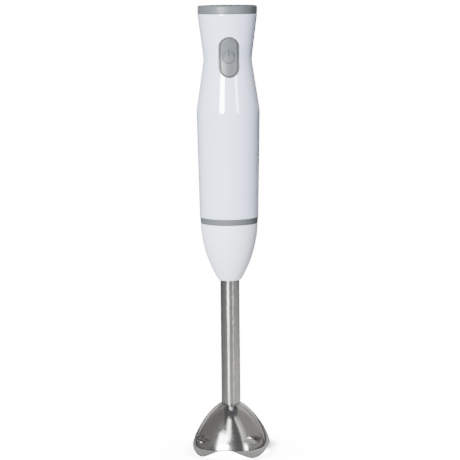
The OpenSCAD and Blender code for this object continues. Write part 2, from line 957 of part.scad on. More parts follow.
carrier_foot_z = 33.5;
carrier_top_z = 62;
carrier_flange_z = 36.5;
seal_r = 6.4;
seal_top_z = 37.5;
low_bush_foot_z = 41;

module bearing_carrier() {
    color(dark)
        difference() {
            union() {
                rod(tube_bore_r - 0.05, carrier_flange_z, carrier_top_z);
                rod(9.0, carrier_foot_z, carrier_flange_z + 2);
            }
            rod(seal_r, carrier_foot_z - 1, seal_top_z);
            rod(bush_r, low_bush_foot_z, low_bush_foot_z + bush_h + 0.02);
            rod(drive_r + 0.4, carrier_foot_z, carrier_top_z + 1);
        }
}

module lower_shaft_bush() {
    color(bronze)
        tube(bush_r - 0.02, drive_r + drive_clearance, low_bush_foot_z + 0.01, low_bush_foot_z + bush_h);
}

module shaft_seal() {
    color(dark)
        difference() {
            tube(seal_r - 0.02, drive_r + drive_clearance, carrier_foot_z - 0.6, seal_top_z - 0.1);
            tube(seal_r - 1.2, drive_r + 1.0, carrier_foot_z - 1, carrier_foot_z + 1.6);
        }
}

// ---------- Drive line ----------

module drive_shaft() {
    color(steel) rod(drive_r, drive_foot_z, drive_top_z);
}

module dog_cup() {
    color(dark)
        difference() {
            rod(cup_r, cup_foot_z, cup_top_z);
            rod(drive_r, cup_foot_z - 1, drive_top_z);
            translate([0, 0, drive_top_z + 0.9])
                linear_extrude(cup_top_z) star(star_tip_r + star_gap, star_root_r + star_gap);
        }
}

module thrust_washer() {
    color(brass) tube(6.5, drive_r + drive_clearance, socket_floor_z + socket_floor_h, cup_foot_z - 0.1);
}

hub_r = 4.6;
hub_foot_z = 18;
hub_top_z = 31.5;
blade_root_r = 13;
blade_bend = 24;

module blade_hub() {
    color(steel)
        difference() {
            union() {
                rod(hub_r, hub_foot_z, hub_top_z);
                rod(6.6, hub_foot_z, hub_foot_z + 1.6);
            }
            rod(drive_r, hub_foot_z - 1, hub_top_z + 1);
        }
}

// Side view of the strip that the blade is bent from: one wing turns down and the other up.
module bent_strip() {
    rise = (blade_r - blade_root_r) * tan(blade_bend);
    line = [[-blade_r, -rise], [-blade_root_r, 0], [blade_root_r, 0], [blade_r, rise]];
    polygon(concat(line, reversed([for (p = line) p - [0, blade_t]])));
}

// Plan view of the blade, with a swept cutting edge on each wing.
module blade_outline() {
    wing = [[5, -5.4], [blade_root_r, -4.4], [blade_r * 0.82, -3.2], [blade_r * 0.965, 0.4],
        [blade_r * 0.98, 4.2], [blade_root_r, 5.2], [5, 5.6]];
    polygon(concat(wing, [for (p = wing) -p]));
}

module blade() {
    color([0.80, 0.80, 0.79])
        difference() {
            translate([0, 0, hub_foot_z])
                intersection() {
                    translate([0, 10, 0]) rotate([90, 0, 0]) linear_extrude(20) bent_strip();
                    translate([0, 0, -10]) linear_extrude(20) blade_outline();
                }
            rod(drive_r, hub_foot_z - 6, hub_foot_z + 6);
        }
}

rivet_r = 4.4;

module blade_rivet() {
    foot = drive_foot_z - 0.8;
    top = hub_foot_z - blade_t;
    color(steel)
        difference() {
            rotate_extrude()
                polygon([[0, foot], [rivet_r - 1.6, foot], [rivet_r, foot + 1.4], [rivet_r, top], [0, top]]);
            rod(drive_r, drive_foot_z, top + 1);
        }
}

// ---------- The nodes ----------

top_cap();
front_shell();
rear_shell();
all_case_screws();  // case_screws
button_frame();
power_button();
button_spring();
switch_plunger();
switch_body();
circuit_board();
all_board_screws();  // board_screws
bridge_rectifier();
suppression_capacitor();
terminal_block();
motor_leads();
cord_gland();
upper_motor_mount();
lower_motor_mount();
motor_can();
field_magnets();
brush_end_bell();
carbon_brushes();
brush_springs();
motor_terminals();
upper_motor_bearing();
lower_motor_bearing();
motor_shaft();
armature_core();
armature_windings();
commutator();
cooling_fan();
drive_dog();
leg_spigot();
lock_ring();
leg_cone();
leg_socket();
leg_tube();
bell_guard();
bearing_carrier();
upper_shaft_bush();
lower_shaft_bush();
shaft_seal();
drive_shaft();
dog_cup();
thrust_washer();
blade_hub();
blade();
blade_rivet();
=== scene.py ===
"""Immersion blender: the looks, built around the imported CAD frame."""
import json
import math

import bmesh
import bpy
import numpy as np
from mathutils import Matrix, Vector

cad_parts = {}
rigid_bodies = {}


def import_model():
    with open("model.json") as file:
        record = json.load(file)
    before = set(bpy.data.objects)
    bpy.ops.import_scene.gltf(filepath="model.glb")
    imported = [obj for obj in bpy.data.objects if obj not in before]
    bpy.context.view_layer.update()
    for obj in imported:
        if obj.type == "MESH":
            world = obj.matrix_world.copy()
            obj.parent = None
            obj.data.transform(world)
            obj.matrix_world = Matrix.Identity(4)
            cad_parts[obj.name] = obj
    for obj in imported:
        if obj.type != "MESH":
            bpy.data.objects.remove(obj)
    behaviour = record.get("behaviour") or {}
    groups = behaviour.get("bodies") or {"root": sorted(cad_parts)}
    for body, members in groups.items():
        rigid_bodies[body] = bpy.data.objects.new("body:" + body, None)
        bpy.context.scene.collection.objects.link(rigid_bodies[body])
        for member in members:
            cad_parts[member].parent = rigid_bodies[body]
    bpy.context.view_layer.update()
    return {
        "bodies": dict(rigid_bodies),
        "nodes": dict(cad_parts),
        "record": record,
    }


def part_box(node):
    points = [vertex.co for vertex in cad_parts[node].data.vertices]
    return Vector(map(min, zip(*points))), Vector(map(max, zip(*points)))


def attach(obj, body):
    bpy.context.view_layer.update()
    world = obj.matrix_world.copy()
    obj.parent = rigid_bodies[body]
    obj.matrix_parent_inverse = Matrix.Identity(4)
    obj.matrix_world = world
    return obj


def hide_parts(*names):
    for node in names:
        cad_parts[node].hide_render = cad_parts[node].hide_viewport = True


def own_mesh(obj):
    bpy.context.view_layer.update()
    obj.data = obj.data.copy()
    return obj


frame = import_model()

MM = 0.001
NODES = frame["nodes"]


# ---------- Camera ----------

CAMERA_PLACE = (-0.0837, -1.5978, 0.410)
CAMERA_TURN = -3.018
CAMERA_DOWN = 7.79
CAMERA_ROLL = -0.55
FOCAL_LENGTH = 149.6


def make_camera():
    """A long lens a little above the tool, looking slightly down."""
    data = bpy.data.cameras.new("camera")
    data.sensor_width = 36.0
    data.lens = FOCAL_LENGTH
    data.clip_start = 0.05
    data.clip_end = 60.0
    camera = bpy.data.objects.new("camera", data)
    bpy.context.scene.collection.objects.link(camera)
    turn = Matrix.Rotation(math.radians(CAMERA_TURN), 4, "Z")
    tilt = Matrix.Rotation(math.radians(90.0 - CAMERA_DOWN), 4, "X")
    roll = Matrix.Rotation(math.radians(CAMERA_ROLL), 4, "Z")
    camera.matrix_world = Matrix.Translation(CAMERA_PLACE) @ turn @ tilt @ roll
    bpy.context.scene.camera = camera


# ---------- Node materials ----------

class Graph:
    """A material's node tree with short ways to add and join nodes. A source is (node, output)."""

    def __init__(self, name):
        self.material = bpy.data.materials.new(name)
        self.material.use_nodes = True
        self.tree = self.material.node_tree
        self.tree.nodes.clear()
        out = self.add("ShaderNodeOutputMaterial")
        self.shader = self.add("ShaderNodeBsdfPrincipled")
        self.join(self.shader, "BSDF", out, "Surface")
        self.coords = self.add("ShaderNodeTexCoord")

    def add(self, kind, **settings):
        node = self.tree.nodes.new(kind)
        for key, value in settings.items():
            setattr(node, key, value)
        return node

    def join(self, a, out, b, into):
        self.tree.links.new(a.outputs[out], b.inputs[into])

    def stretched(self, sx, sy, sz):
        """Object coordinates, scaled along each axis."""
        mapping = self.add("ShaderNodeMapping")
        mapping.inputs["Scale"].default_value = (sx, sy, sz)
        self.join(self.coords, "Object", mapping, "Vector")
        return mapping, "Vector"

    def around(self, sr, sa, sz):
        """Coordinates (radius, bearing, height) about the Z axis, each with its scale."""
        split = self.add("ShaderNodeSeparateXYZ")
        self.join(self.coords, "Object", split, "Vector")
        square_x = self.math("MULTIPLY", (split, "X"), (split, "X"))
        square_y = self.math("MULTIPLY", (split, "Y"), (split, "Y"))
        total = self.math("ADD", square_x, square_y)
        radius = self.math("SQRT", total)
        bearing = self.math("ARCTAN2", (split, "Y"), (split, "X"))
        joined = self.add("ShaderNodeCombineXYZ")
        for axis, source, scale in (("X", radius, sr), ("Y", bearing, sa), ("Z", (split, "Z"), sz)):
            scaled = self.math("MULTIPLY", source, scale)
            self.join(*scaled, joined, axis)
        return joined, "Vector"

    def math(self, operation, a, b=None):
        node = self.add("ShaderNodeMath", operation=operation)
        for i, value in enumerate((a, b)):
            if value is None:
                continue
            if isinstance(value, tuple):
                self.join(*value, node, i)
            else:
                node.inputs[i].default_value = value
        return node, "Value"

    def noise(self, vector, scale, detail=2.0, roughness=0.5):
        node = self.add("ShaderNodeTexNoise")
        node.inputs["Scale"].default_value = scale
        node.inputs["Detail"].default_value = detail
        node.inputs["Roughness"].default_value = roughness
        self.join(*(vector or (self.coords, "Object")), node, "Vector")
        return node, "Fac"

    def cells(self, scale):
        node = self.add("ShaderNodeTexVoronoi")
        node.inputs["Scale"].default_value = scale
        self.join(self.coords, "Object", node, "Vector")
        return node, "Distance"

    def spread(self, source, low, high, from_low=0.25, from_high=0.75):
        """source, with its range from_low to from_high mapped to low to high."""
        node = self.add("ShaderNodeMapRange")
        node.inputs["From Min"].default_value = from_low
        node.inputs["From Max"].default_value = from_high
        node.inputs["To Min"].default_value = low
        node.inputs["To Max"].default_value = high
        self.join(*source, node, "Value")
        return node, "Result"

    def blend(self, source, stops):
        """Colours along source, from (place, colour) stops."""
        node = self.add("ShaderNodeValToRGB")
        ramp = node.color_ramp
        while len(ramp.elements) < len(stops):
            ramp.elements.new(0.5)
        for element, (place, colour) in zip(ramp.elements, stops):
            element.position = place
            element.color = (*colour, 1.0)
        self.join(*source, node, "Fac")
        return node, "Color"

    def bump(self, source, distance, strength=1.0, under=None):
        node = self.add("ShaderNodeBump")
        node.inputs["Strength"].default_value = strength
        node.inputs["Distance"].default_value = distance
        self.join(*source, node, "Height")
        if under:
            self.join(*under, node, "Normal")
        return node, "Normal"

    def set(self, **values):
        for key, value in values.items():
            self.shader.inputs[key.replace("_", " ")].default_value = value

    def into(self, source, socket):
        self.join(*source, self.shader, socket)

    def mixed(self, share, source, colour):
        """source where share is 0, colour where it is 1."""
        node = self.add("ShaderNodeMix", data_type="RGBA")
        self.join(*share, node, 0)
        self.join(*source, node, 6)
        node.inputs[7].default_value = (*colour, 1.0)
        return node, 2


def shade(colour, gain):
    """A lighter or darker colour."""
    return tuple(min(1.0, c * gain) for c in colour)


def plastic(name, colour, rough, grain_size, grain_depth, vary=0.03, coat=0.0, specular=0.5, wave=0.0):
    """Moulded plastic: fine grain from the mould, slight flow marks and patches of different gloss."""
    g = Graph(name)
    g.set(IOR=1.5, Metallic=0.0)
    g.shader.inputs["Specular IOR Level"].default_value = specular
    if coat:
        g.shader.inputs["Coat Weight"].default_value = coat
        g.shader.inputs["Coat Roughness"].default_value = 0.04
        g.shader.inputs["Coat IOR"].default_value = 2.0
    patch = g.noise(None, 38.0, 3.0)
    g.into(g.blend(patch, [(0.3, shade(colour, 1 - vary)), (0.7, colour)]), "Base Color")
    smear = g.noise(g.stretched(60, 60, 14), 1.0, 4.0)
    g.into(g.spread(smear, rough[0], rough[1]), "Roughness")
    grain = g.noise(None, 1.0 / (grain_size * MM), 2.0)
    normal = g.bump(grain, grain_depth * MM)
    if wave:
        normal = g.bump(g.noise(None, 320.0, 1.0), wave * MM, under=normal)
    g.into(normal, "Normal")
    return g.material


def turned_metal(name, colour, rough, line_step, line_depth, vary=0.08, lines="round",
                 stretch=0.0, inside=0.0):
    """Metal with the fine lines that turning, drawing or polishing leaves.

    stretch draws its highlights out upwards; inside is the roughness of faces that look towards the Z axis.
    """
    g = Graph(name)
    g.set(Metallic=1.0, IOR=2.5)
    if stretch:
        g.set(Anisotropic=stretch)
        g.shader.inputs["Anisotropic Rotation"].default_value = 0.25
        tangent = g.add("ShaderNodeTangent", direction_type="RADIAL", axis="Z")
        g.join(tangent, "Tangent", g.shader, "Tangent")
    if lines == "round":
        place = g.around(1.0 / (line_step * MM), 1.2, 1.0 / (line_step * MM))
    elif lines == "along":
        place = g.around(0.0, 8.0 / line_step, 9.0)
    else:
        place = g.stretched(*(s / (line_step * MM) for s in lines))
    marks = g.noise(place, 1.0, 3.0, 0.6)
    cloud = g.noise(None, 90.0, 3.0)
    tone = g.blend(cloud, [(0.25, shade(colour, 1 - vary)), (0.75, colour)])
    mixed = g.math("MULTIPLY", g.spread(marks, 0.9, 1.1), g.spread(cloud, rough[0], rough[1]))
    if inside:
        facing = g.add("ShaderNodeVectorMath", operation="DOT_PRODUCT")
        flat = g.stretched(1.0, 1.0, 0.0)
        g.join(*flat, facing, 0)
        g.join(g.coords, "Normal", facing, 1)
        inner = g.spread((facing, "Value"), 1.0, 0.0, -0.004, 0.004)
        mixed = g.math("MAXIMUM", mixed, g.math("MULTIPLY", inner, inside))
        tone = g.mixed(inner, tone, shade(colour, 0.75))
    g.into(tone, "Base Color")
    g.into(mixed, "Roughness")
    g.into(g.bump(marks, line_depth * MM), "Normal")
    return g.material


def cast(name, colour, rough, grain_size, grain_depth, metallic=0.0, vary=0.15, cells=False):
    """A granular surface such as sintered, cast, carbon or rubber."""
    g = Graph(name)
    g.set(Metallic=metallic, IOR=1.5)
    fine = g.cells(1.0 / (grain_size * MM)) if cells else g.noise(None, 1.0 / (grain_size * MM), 4.0)
    cloud = g.noise(None, 120.0, 4.0)
    g.into(g.blend(cloud, [(0.3, shade(colour, 1 - vary)), (0.7, shade(colour, 1 + vary))]), "Base Color")
    g.into(g.spread(cloud, rough[0], rough[1]), "Roughness")
    g.into(g.bump(fine, grain_depth * MM), "Normal")
    return g.material


def stacked(name, colour, dark, rough, step, along="Z", metallic=1.0):
    """Thin layers or strands: laminations of a core, wires of a coil."""
    g = Graph(name)
    g.set(Metallic=metallic, IOR=2.0)
    split = g.add("ShaderNodeSeparateXYZ")
    g.join(g.coords, "Object", split, "Vector")
    height = g.math("MULTIPLY", (split, along), 2 * math.pi / (step * MM))
    wave = g.math("SINE", height)
    rows = g.spread(wave, 0.0, 1.0, -1.0, 0.2)
    cloud = g.noise(None, 400.0, 2.0)
    g.into(g.blend(rows, [(0.0, dark), (0.5, colour)]), "Base Color")
    g.into(g.spread(cloud, rough[0], rough[1]), "Roughness")
    g.into(g.bump(rows, 0.06 * MM), "Normal")
    return g.material


def board_material():
    """Solder mask with the tracks showing through as a paler green."""
    g = Graph("board_green")
    g.set(IOR=1.5)
    tracks = g.noise(g.stretched(900, 900, 260), 1.0, 0.0)
    g.into(g.blend(tracks, [(0.46, (0.02, 0.12, 0.05)), (0.5, (0.05, 0.24, 0.10))]), "Base Color")
    g.into(g.spread(g.noise(None, 300.0), 0.25, 0.4), "Roughness")
    g.into(g.bump(tracks, 0.03 * MM), "Normal")
    return g.material


def pad_material():
    """Soft-touch pad: fine leathery grain, and the power mark a little darker than the rest."""
    g = Graph("button_grey")
    g.set(IOR=1.5)
    g.shader.inputs["Sheen Weight"].default_value = 0.15
    g.shader.inputs["Sheen Roughness"].default_value = 0.4
    mark = g.add("ShaderNodeAttribute", attribute_name="mark")
    cloud = g.noise(None, 60.0, 3.0)
    base = g.blend(cloud, [(0.3, (0.084, 0.092, 0.098)), (0.7, (0.090, 0.099, 0.105))])
    g.into(g.mixed((mark, "Fac"), base, (0.052, 0.058, 0.062)), "Base Color")
    g.into(g.spread(cloud, 0.34, 0.44), "Roughness")
    g.into(g.bump(g.noise(None, 3600.0, 2.0), 0.012 * MM), "Normal")
    return g.material


def make_materials():
    """One material for each slot of the record, and for the pieces made here."""
    return {
        "gloss_white": plastic("gloss_white", (0.71, 0.77, 0.98), (0.06, 0.09), 1.1, 0.0008,
                               vary=0.012, coat=1.0, wave=0.002),
        "satin_white": plastic("satin_white", (0.77, 0.795, 0.92), (0.34, 0.44), 0.35, 0.004, vary=0.015),
        "trim_grey": plastic("trim_grey", (0.088, 0.097, 0.101), (0.36, 0.46), 0.30, 0.006),
        "button_grey": pad_material(),
        "frame_grey": plastic("frame_grey", (0.092, 0.090, 0.088), (0.24, 0.34), 0.35, 0.004),
        "inner_plastic": plastic("inner_plastic", (0.62, 0.62, 0.58), (0.42, 0.55), 0.4, 0.01),
        "black_plastic": plastic("black_plastic", (0.022, 0.022, 0.025), (0.36, 0.5), 0.3, 0.008, vary=0.2),
        "terminal_green": plastic("terminal_green", (0.05, 0.22, 0.11), (0.35, 0.45), 0.3, 0.006, vary=0.1),
        "film_yellow": plastic("film_yellow", (0.62, 0.42, 0.05), (0.28, 0.38), 0.6, 0.006, vary=0.1),
        "lead_insulation": plastic("lead_insulation", (0.30, 0.03, 0.03), (0.4, 0.5), 0.3, 0.004, vary=0.1),
        "bell_steel": turned_metal("bell_steel", (0.60, 0.588, 0.565), (0.12, 0.16), 0.22, 0.0001, vary=0.04,
                                   stretch=0.25, inside=0.4),
        "tube_steel": turned_metal("tube_steel", (0.60, 0.585, 0.555), (0.20, 0.25), 0.16, 0.00005, vary=0.04,
                                   stretch=0.9),
        "blade_steel": turned_metal("blade_steel", (0.64, 0.635, 0.62), (0.16, 0.26), 0.20, 0.004,
                                    lines=(1.0, 0.05, 1.0)),
        "shaft_steel": turned_metal("shaft_steel", (0.58, 0.57, 0.55), (0.18, 0.26), 0.15, 0.002),
        "screw_steel": turned_metal("screw_steel", (0.50, 0.50, 0.49), (0.24, 0.36), 0.3, 0.004,
                                    lines=(1.0, 1.0, 1.0)),
        "motor_steel": turned_metal("motor_steel", (0.56, 0.56, 0.54), (0.26, 0.38), 0.5, 0.003,
                                    lines="along"),
        "lamination": stacked("lamination", (0.33, 0.33, 0.34), (0.06, 0.06, 0.065), (0.35, 0.5), 1.0),
        "copper": stacked("copper", (0.72, 0.30, 0.13), (0.30, 0.09, 0.04), (0.22, 0.34), 0.55, along="X"),
        "bronze": cast("bronze", (0.50, 0.33, 0.16), (0.38, 0.5), 0.25, 0.012, metallic=1.0),
        "brass": turned_metal("brass", (0.70, 0.52, 0.22), (0.2, 0.3), 0.25, 0.003),
        "ferrite": cast("ferrite", (0.05, 0.05, 0.055), (0.5, 0.65), 0.5, 0.03, cells=True),
        "carbon": cast("carbon", (0.03, 0.03, 0.03), (0.45, 0.6), 0.25, 0.02),
        "rubber": cast("rubber", (0.035, 0.035, 0.037), (0.55, 0.7), 0.3, 0.012),
        "board_green": board_material(),
    }


# ---------- Mesh helpers (millimetres in, metres out) ----------

def solid(name, points, faces):
    """A closed mesh object from points in millimetres."""
    mesh = bpy.data.meshes.new(name)
    mesh.from_pydata([tuple(float(c) * MM for c in p) for p in points], [], [list(f) for f in faces])
    bm = bmesh.new()
    bm.from_mesh(mesh)
    bmesh.ops.remove_doubles(bm, verts=bm.verts, dist=1e-7)
    bmesh.ops.dissolve_degenerate(bm, edges=bm.edges, dist=1e-8)
    bmesh.ops.recalc_face_normals(bm, faces=bm.faces)
    bm.to_mesh(mesh)
    bm.free()
    obj = bpy.data.objects.new(name, mesh)
    bpy.context.scene.collection.objects.link(obj)
    return obj


def sweep(profile, segments, first=0.0, last=360.0):
    """A closed profile [(r, z)] turned about Z, from bearing first to last."""
    full = last - first >= 359.99
    rows = segments if full else segments + 1
    bearings = [math.radians(first + (last - first) * i / segments) for i in range(rows)]
    return sweep_at(profile, bearings, full)


def sweep_at(profile, bearings, full, row_profiles=None):
    """The profile at each bearing, closed on itself if full. row_profiles gives each bearing its own."""
    n = len(profile)
    points, faces = [], []
    for i, b in enumerate(bearings):
        for r, z in (row_profiles[i] if row_profiles else profile):
            points.append((r * math.cos(b), r * math.sin(b), z))
    count = len(bearings)
    for i in range(count if full else count - 1):
        a, c = i * n, ((i + 1) % count) * n
        for k in range(n):
            m = (k + 1) % n
            faces.append((a + k, c + k, c + m, a + m))
    if not full:
        faces.append(tuple(range(n)))
        faces.append(tuple((count - 1) * n + k for k in reversed(range(n))))
    return points, faces


def lathe(name, profile, segments=128):
    """A solid of revolution about Z."""
    points, faces = sweep(profile, segments)
    return solid(name, points, faces)


def fillet(centre, r, start, end, steps=5):
    """Points of an arc, in degrees, around centre."""
    return [(centre[0] + r * math.cos(math.radians(start + (end - start) * i / steps)),
             centre[1] + r * math.sin(math.radians(start + (end - start) * i / steps)))
            for i in range(steps + 1)]


def bar_y(x, z, profile, segments=48):
    """A closed profile [(r, y)] turned about the line through x, z along Y."""
    n = len(profile)
    points, faces = [], []
    for i in range(segments):
        b = 2 * math.pi * i / segments
        for r, y in profile:
            points.append((x + r * math.cos(b), y, z + r * math.sin(b)))
    for i in range(segments):
        a, c = i * n, ((i + 1) % segments) * n
        for k in range(n):
            m = (k + 1) % n
            faces.append((a + k, c + k, c + m, a + m))
    return points, faces


def stacked_meshes(parts):
    """Several (points, faces) lists as one."""
    points, faces = [], []
    for p, f in parts:
        base = len(points)
        points.extend(p)
        faces.extend([tuple(base + i for i in face) for face in f])
    return points, faces


def carve(obj, tool, operation):
    """Joins tool to obj or cuts it out of obj, and deletes tool."""
    change = obj.modifiers.new("carve", "BOOLEAN")
    change.operation = operation
    change.solver = "EXACT"
    change.object = tool
    bpy.context.view_layer.update()
    graph = bpy.context.evaluated_depsgraph_get()
    mesh = bpy.data.meshes.new_from_object(obj.evaluated_get(graph))
    obj.modifiers.clear()
    obj.data = mesh
    bpy.data.objects.remove(tool)


def dress(obj, body, slot, *nodes, surface=None, angle=32.0):
    """Smooths obj, gives it its material and ties it to the frame.

    surface(points) gives, for points in millimetres, the true normals and a mask of where they hold.
    """
    mesh = obj.data
    for polygon in mesh.polygons:
        polygon.use_smooth = True
    mesh.set_sharp_from_angle(angle=math.radians(angle))
    if surface:
        corners = np.empty(len(mesh.loops), np.int32)
        mesh.loops.foreach_get("vertex_index", corners)
        places = np.empty(len(mesh.vertices) * 3)
        mesh.vertices.foreach_get("co", places)
        places = places.reshape(-1, 3) / MM
        normals = np.empty(len(mesh.loops) * 3, np.float32)
        mesh.corner_normals.foreach_get("vector", normals)
        normals = normals.reshape(-1, 3).astype(float)
        faces = np.empty(len(mesh.polygons) * 3, np.float32)
        mesh.polygon_normals.foreach_get("vector", faces)
        faces = faces.reshape(-1, 3)
        totals = np.empty(len(mesh.polygons), np.int32)
        mesh.polygons.foreach_get("loop_total", totals)
        face_of = np.repeat(np.arange(len(totals)), totals)
        true, holds = surface(places)
        holds = holds[corners] & ((true[corners] * faces[face_of]).sum(1) > 0.94)
        normals[holds] = true[corners][holds]
        mesh.normals_split_custom_set([tuple(n) for n in normals])
    mesh.materials.clear()
    mesh.materials.append(MATERIALS[slot])
    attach(obj, body)
    if nodes:
        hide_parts(*nodes)
    return obj


# ---------- Handle outline ----------

HANDLE_TOP = (25.1, 372.7)
WAIST = (20.2, 335.4)
BELLY = (26.7, 292.5)
HANDLE_FOOT = (24.9, 203.0)
BLEND_R = 32.0
POINT_STEP = 2.5


def rounded_corner(a, b, c, r, steps):
    """Points of the arc that rounds the corner at b between a and c."""
    a, b, c = (np.array(p, float) for p in (a, b, c))
    to_a = (a - b) / np.linalg.norm(a - b)
    to_c = (c - b) / np.linalg.norm(c - b)
    half = math.acos(float(to_a @ to_c)) / 2
    middle = to_a + to_c
    centre = b + middle / np.linalg.norm(middle) * r / math.sin(half)
    start = b + to_a * r / math.tan(half) - centre
    finish = b + to_c * r / math.tan(half) - centre
    first = math.atan2(start[1], start[0])
    turn = math.atan2(finish[1], finish[0]) - first
    turn = (turn + math.pi) % (2 * math.pi) - math.pi
    return [centre + r * np.array([math.cos(first + turn * i / steps), math.sin(first + turn * i / steps)])
            for i in range(steps + 1)]


def line_points(a, b, step):
    """Points between a and b, about step apart, without the ends."""
    count = max(1, int(round(math.dist(a, b) / step)))
    return [np.array(a) + (np.array(b) - np.array(a)) * i / count for i in range(1, count)]


def make_outline():
    """The handle's outline from top to foot: straight runs with the waist and the belly rounded."""
    waist = rounded_corner(HANDLE_TOP, WAIST, BELLY, BLEND_R, 14)
    belly = rounded_corner(WAIST, BELLY, HANDLE_FOOT, BLEND_R, 14)
    path = [np.array(HANDLE_TOP)]
    path += line_points(HANDLE_TOP, waist[0], POINT_STEP)
    path += waist + line_points(waist[-1], belly[0], POINT_STEP)
    path += belly + line_points(belly[-1], HANDLE_FOOT, POINT_STEP) + [np.array(HANDLE_FOOT)]
    return np.array(path)


OUTLINE = make_outline()
OUT_Z = OUTLINE[::-1, 1].copy()
OUT_R = OUTLINE[::-1, 0].copy()
OUT_SLOPE = np.gradient(OUT_R, OUT_Z)


def handle_r(z):
    """The handle's radius at a height."""
    return np.interp(z, OUT_Z, OUT_R)


def handle_surface(points):
    """Normals of the handle's outer surface, and which points lie on it."""
    rho = np.hypot(points[:, 0], points[:, 1])
    z = points[:, 2]
    slope = np.interp(z, OUT_Z, OUT_SLOPE)
    safe = np.maximum(rho, 1e-6)
    normal = np.stack([points[:, 0] / safe, points[:, 1] / safe, -slope], 1)
    normal /= np.linalg.norm(normal, axis=1)[:, None]
    on = (np.abs(rho - handle_r(z)) < 0.03) & (z > HANDLE_FOOT[1] + 0.28) & (z < HANDLE_TOP[1] - 0.28)
    return normal, on


# ---------- Handle shells ----------

WALL = 2.2
SCREWS = [(-15.5, 298.0), (15.5, 298.0), (0.0, 365.0)]
BOARD_SCREWS = [(-9.0, 313.0), (9.0, 313.0)]
EDGE = 0.25
GLAND_Z = 350.0
VENT_LEVELS = range(318, 334, 5)
OUTLET_Z = 211.8
OUTLET_BEARINGS = range(30, 151, 12)


def shell_profile():
    """Outer wall from top to foot with rounded ends, then the inner wall with its lip and rib."""
    top_r, top_z = HANDLE_TOP
    foot_r, foot_z = HANDLE_FOOT
    outer = [(r, z) for r, z in OUTLINE if foot_z + EDGE < z < top_z - EDGE]
    outer = fillet((top_r - EDGE, top_z - EDGE), EDGE, 90, 0, 4) + outer
    outer += fillet((foot_r - EDGE, foot_z + EDGE), EDGE, 0, -90, 4)
    inner = [(18.48, foot_z), (18.48, foot_z + 1.5), (foot_r - WALL + 0.05, foot_z + 1.5),
             (foot_r - WALL + 0.12, 207.5), (20.6, 207.5), (20.6, 208.4), (foot_r - WALL + 0.16, 208.4)]
    levels = [215, 235, 255, 275, 284, 288, 292, 296, 300, 310, 322, 332, 335, 338, 341, 344, 355, 365]
    inner += [(float(handle_r(z)) - WALL, float(z)) for z in levels]
    inner += [(top_r - WALL, top_z)]
    return outer, inner


def half_shell(name, first):
    """Half of the handle, from bearing first, with its long edges rounded off where the shells meet."""
    outer, inner = shell_profile()
    span = [0.0, 0.25, 0.6] + [1.875 * i for i in range(1, 96)] + [179.4, 179.75, 180.0]
    pulls = [0.14, 0.04, 0.0] + [0.0] * 95 + [0.0, 0.04, 0.14]
    bearings = [math.radians(first + s) for s in span]
    rows = [[(r - pull, z) for r, z in outer] + inner for pull in pulls]
    points, faces = sweep_at(outer + inner, bearings, False, rows)
    return solid(name, points, faces)


def post(x, z, radius, side, depth=1.1):
    """A screw post that ends inside the shell's wall, following its curve."""
    rings, around = 5, 32
    points, faces = [], []
    for k in range(rings + 1):
        share = k / rings
        for i in range(around):
            a = 2 * math.pi * i / around
            px, pz = x + radius * share * math.cos(a), z + radius * share * math.sin(a)
            reach = math.sqrt(max(1.0, (float(handle_r(pz)) - depth) ** 2 - px * px))
            points.append((px, side * reach, pz))
    for i in range(around):
        a = 2 * math.pi * i / around
        points.append((x + radius * math.cos(a), 0.0, z + radius * math.sin(a)))
    for k in range(rings):
        for i in range(around):
            j = (i + 1) % around
            faces.append((k * around + i, k * around + j, (k + 1) * around + j, (k + 1) * around + i))
    last = rings * around
    for i in range(around):
        j = (i + 1) % around
        faces.append((last + i, last + j, last + around + j, last + around + i))
    faces.append(tuple(last + around + i for i in range(around)))
    return points, faces


def slot_outline(length, height, steps=8):
    """A slot with round ends, centred on 0, 0, longer along its first axis."""
    r = height / 2
    right = fillet((length / 2 - r, 0), r, -90, 90, steps)
    return right + [(-x, -y) for x, y in right]


def prism(outline, place):
    """A closed prism: place(u, v, k) puts an outline point at its near (k = 0) or far (k = 1) end."""
    n = len(outline)
    points = [place(u, v, k) for k in (0, 1) for u, v in outline]
    faces = [(i, (i + 1) % n, n + (i + 1) % n, n + i) for i in range(n)]
    faces += [tuple(reversed(range(n))), tuple(range(n, 2 * n))]
    return points, faces


def stadium(width, height, inset=0.0, arc=80, side=80):
    """Points of an upright oval, inset from its edge, in the same order whatever the inset."""
    r = max(0.0, width / 2 - inset)
    straight = (height - width) / 2
    angles = [math.pi * i / arc for i in range(arc)]
    points = [(r * math.cos(a), straight + r * math.sin(a)) for a in angles]
    points += [(-r, straight - 2 * straight * i / side) for i in range(side)]
    points += [(-x, -z) for x, z in points]
    return points


BUTTON_Z = 337.4
FRAME_W, FRAME_H = 17.4, 34.0


def make_front_shell():
    """The front half, with three screw posts and the button's window."""
    shell = half_shell("handle_front", 180.0)
    posts = stacked_meshes([post(x, z, 3.4, -1) for x, z in SCREWS])
    carve(shell, solid("tool", *posts), "UNION")
    oval = stadium(FRAME_W + 0.1, FRAME_H + 0.1, arc=32, side=16)
    window = prism(oval, lambda u, v, k: (u, (-40.0, -10.0)[k], BUTTON_Z + v))
    holes = [bar_y(x, z, [(0.0, -9.0), (1.5, -9.0), (1.5, 1.0), (0.0, 1.0)], 24) for x, z in SCREWS]
    carve(shell, solid("tool", *stacked_meshes([window] + holes)), "DIFFERENCE")
    dress(shell, "motor_unit", "gloss_white", "front_shell", surface=handle_surface)


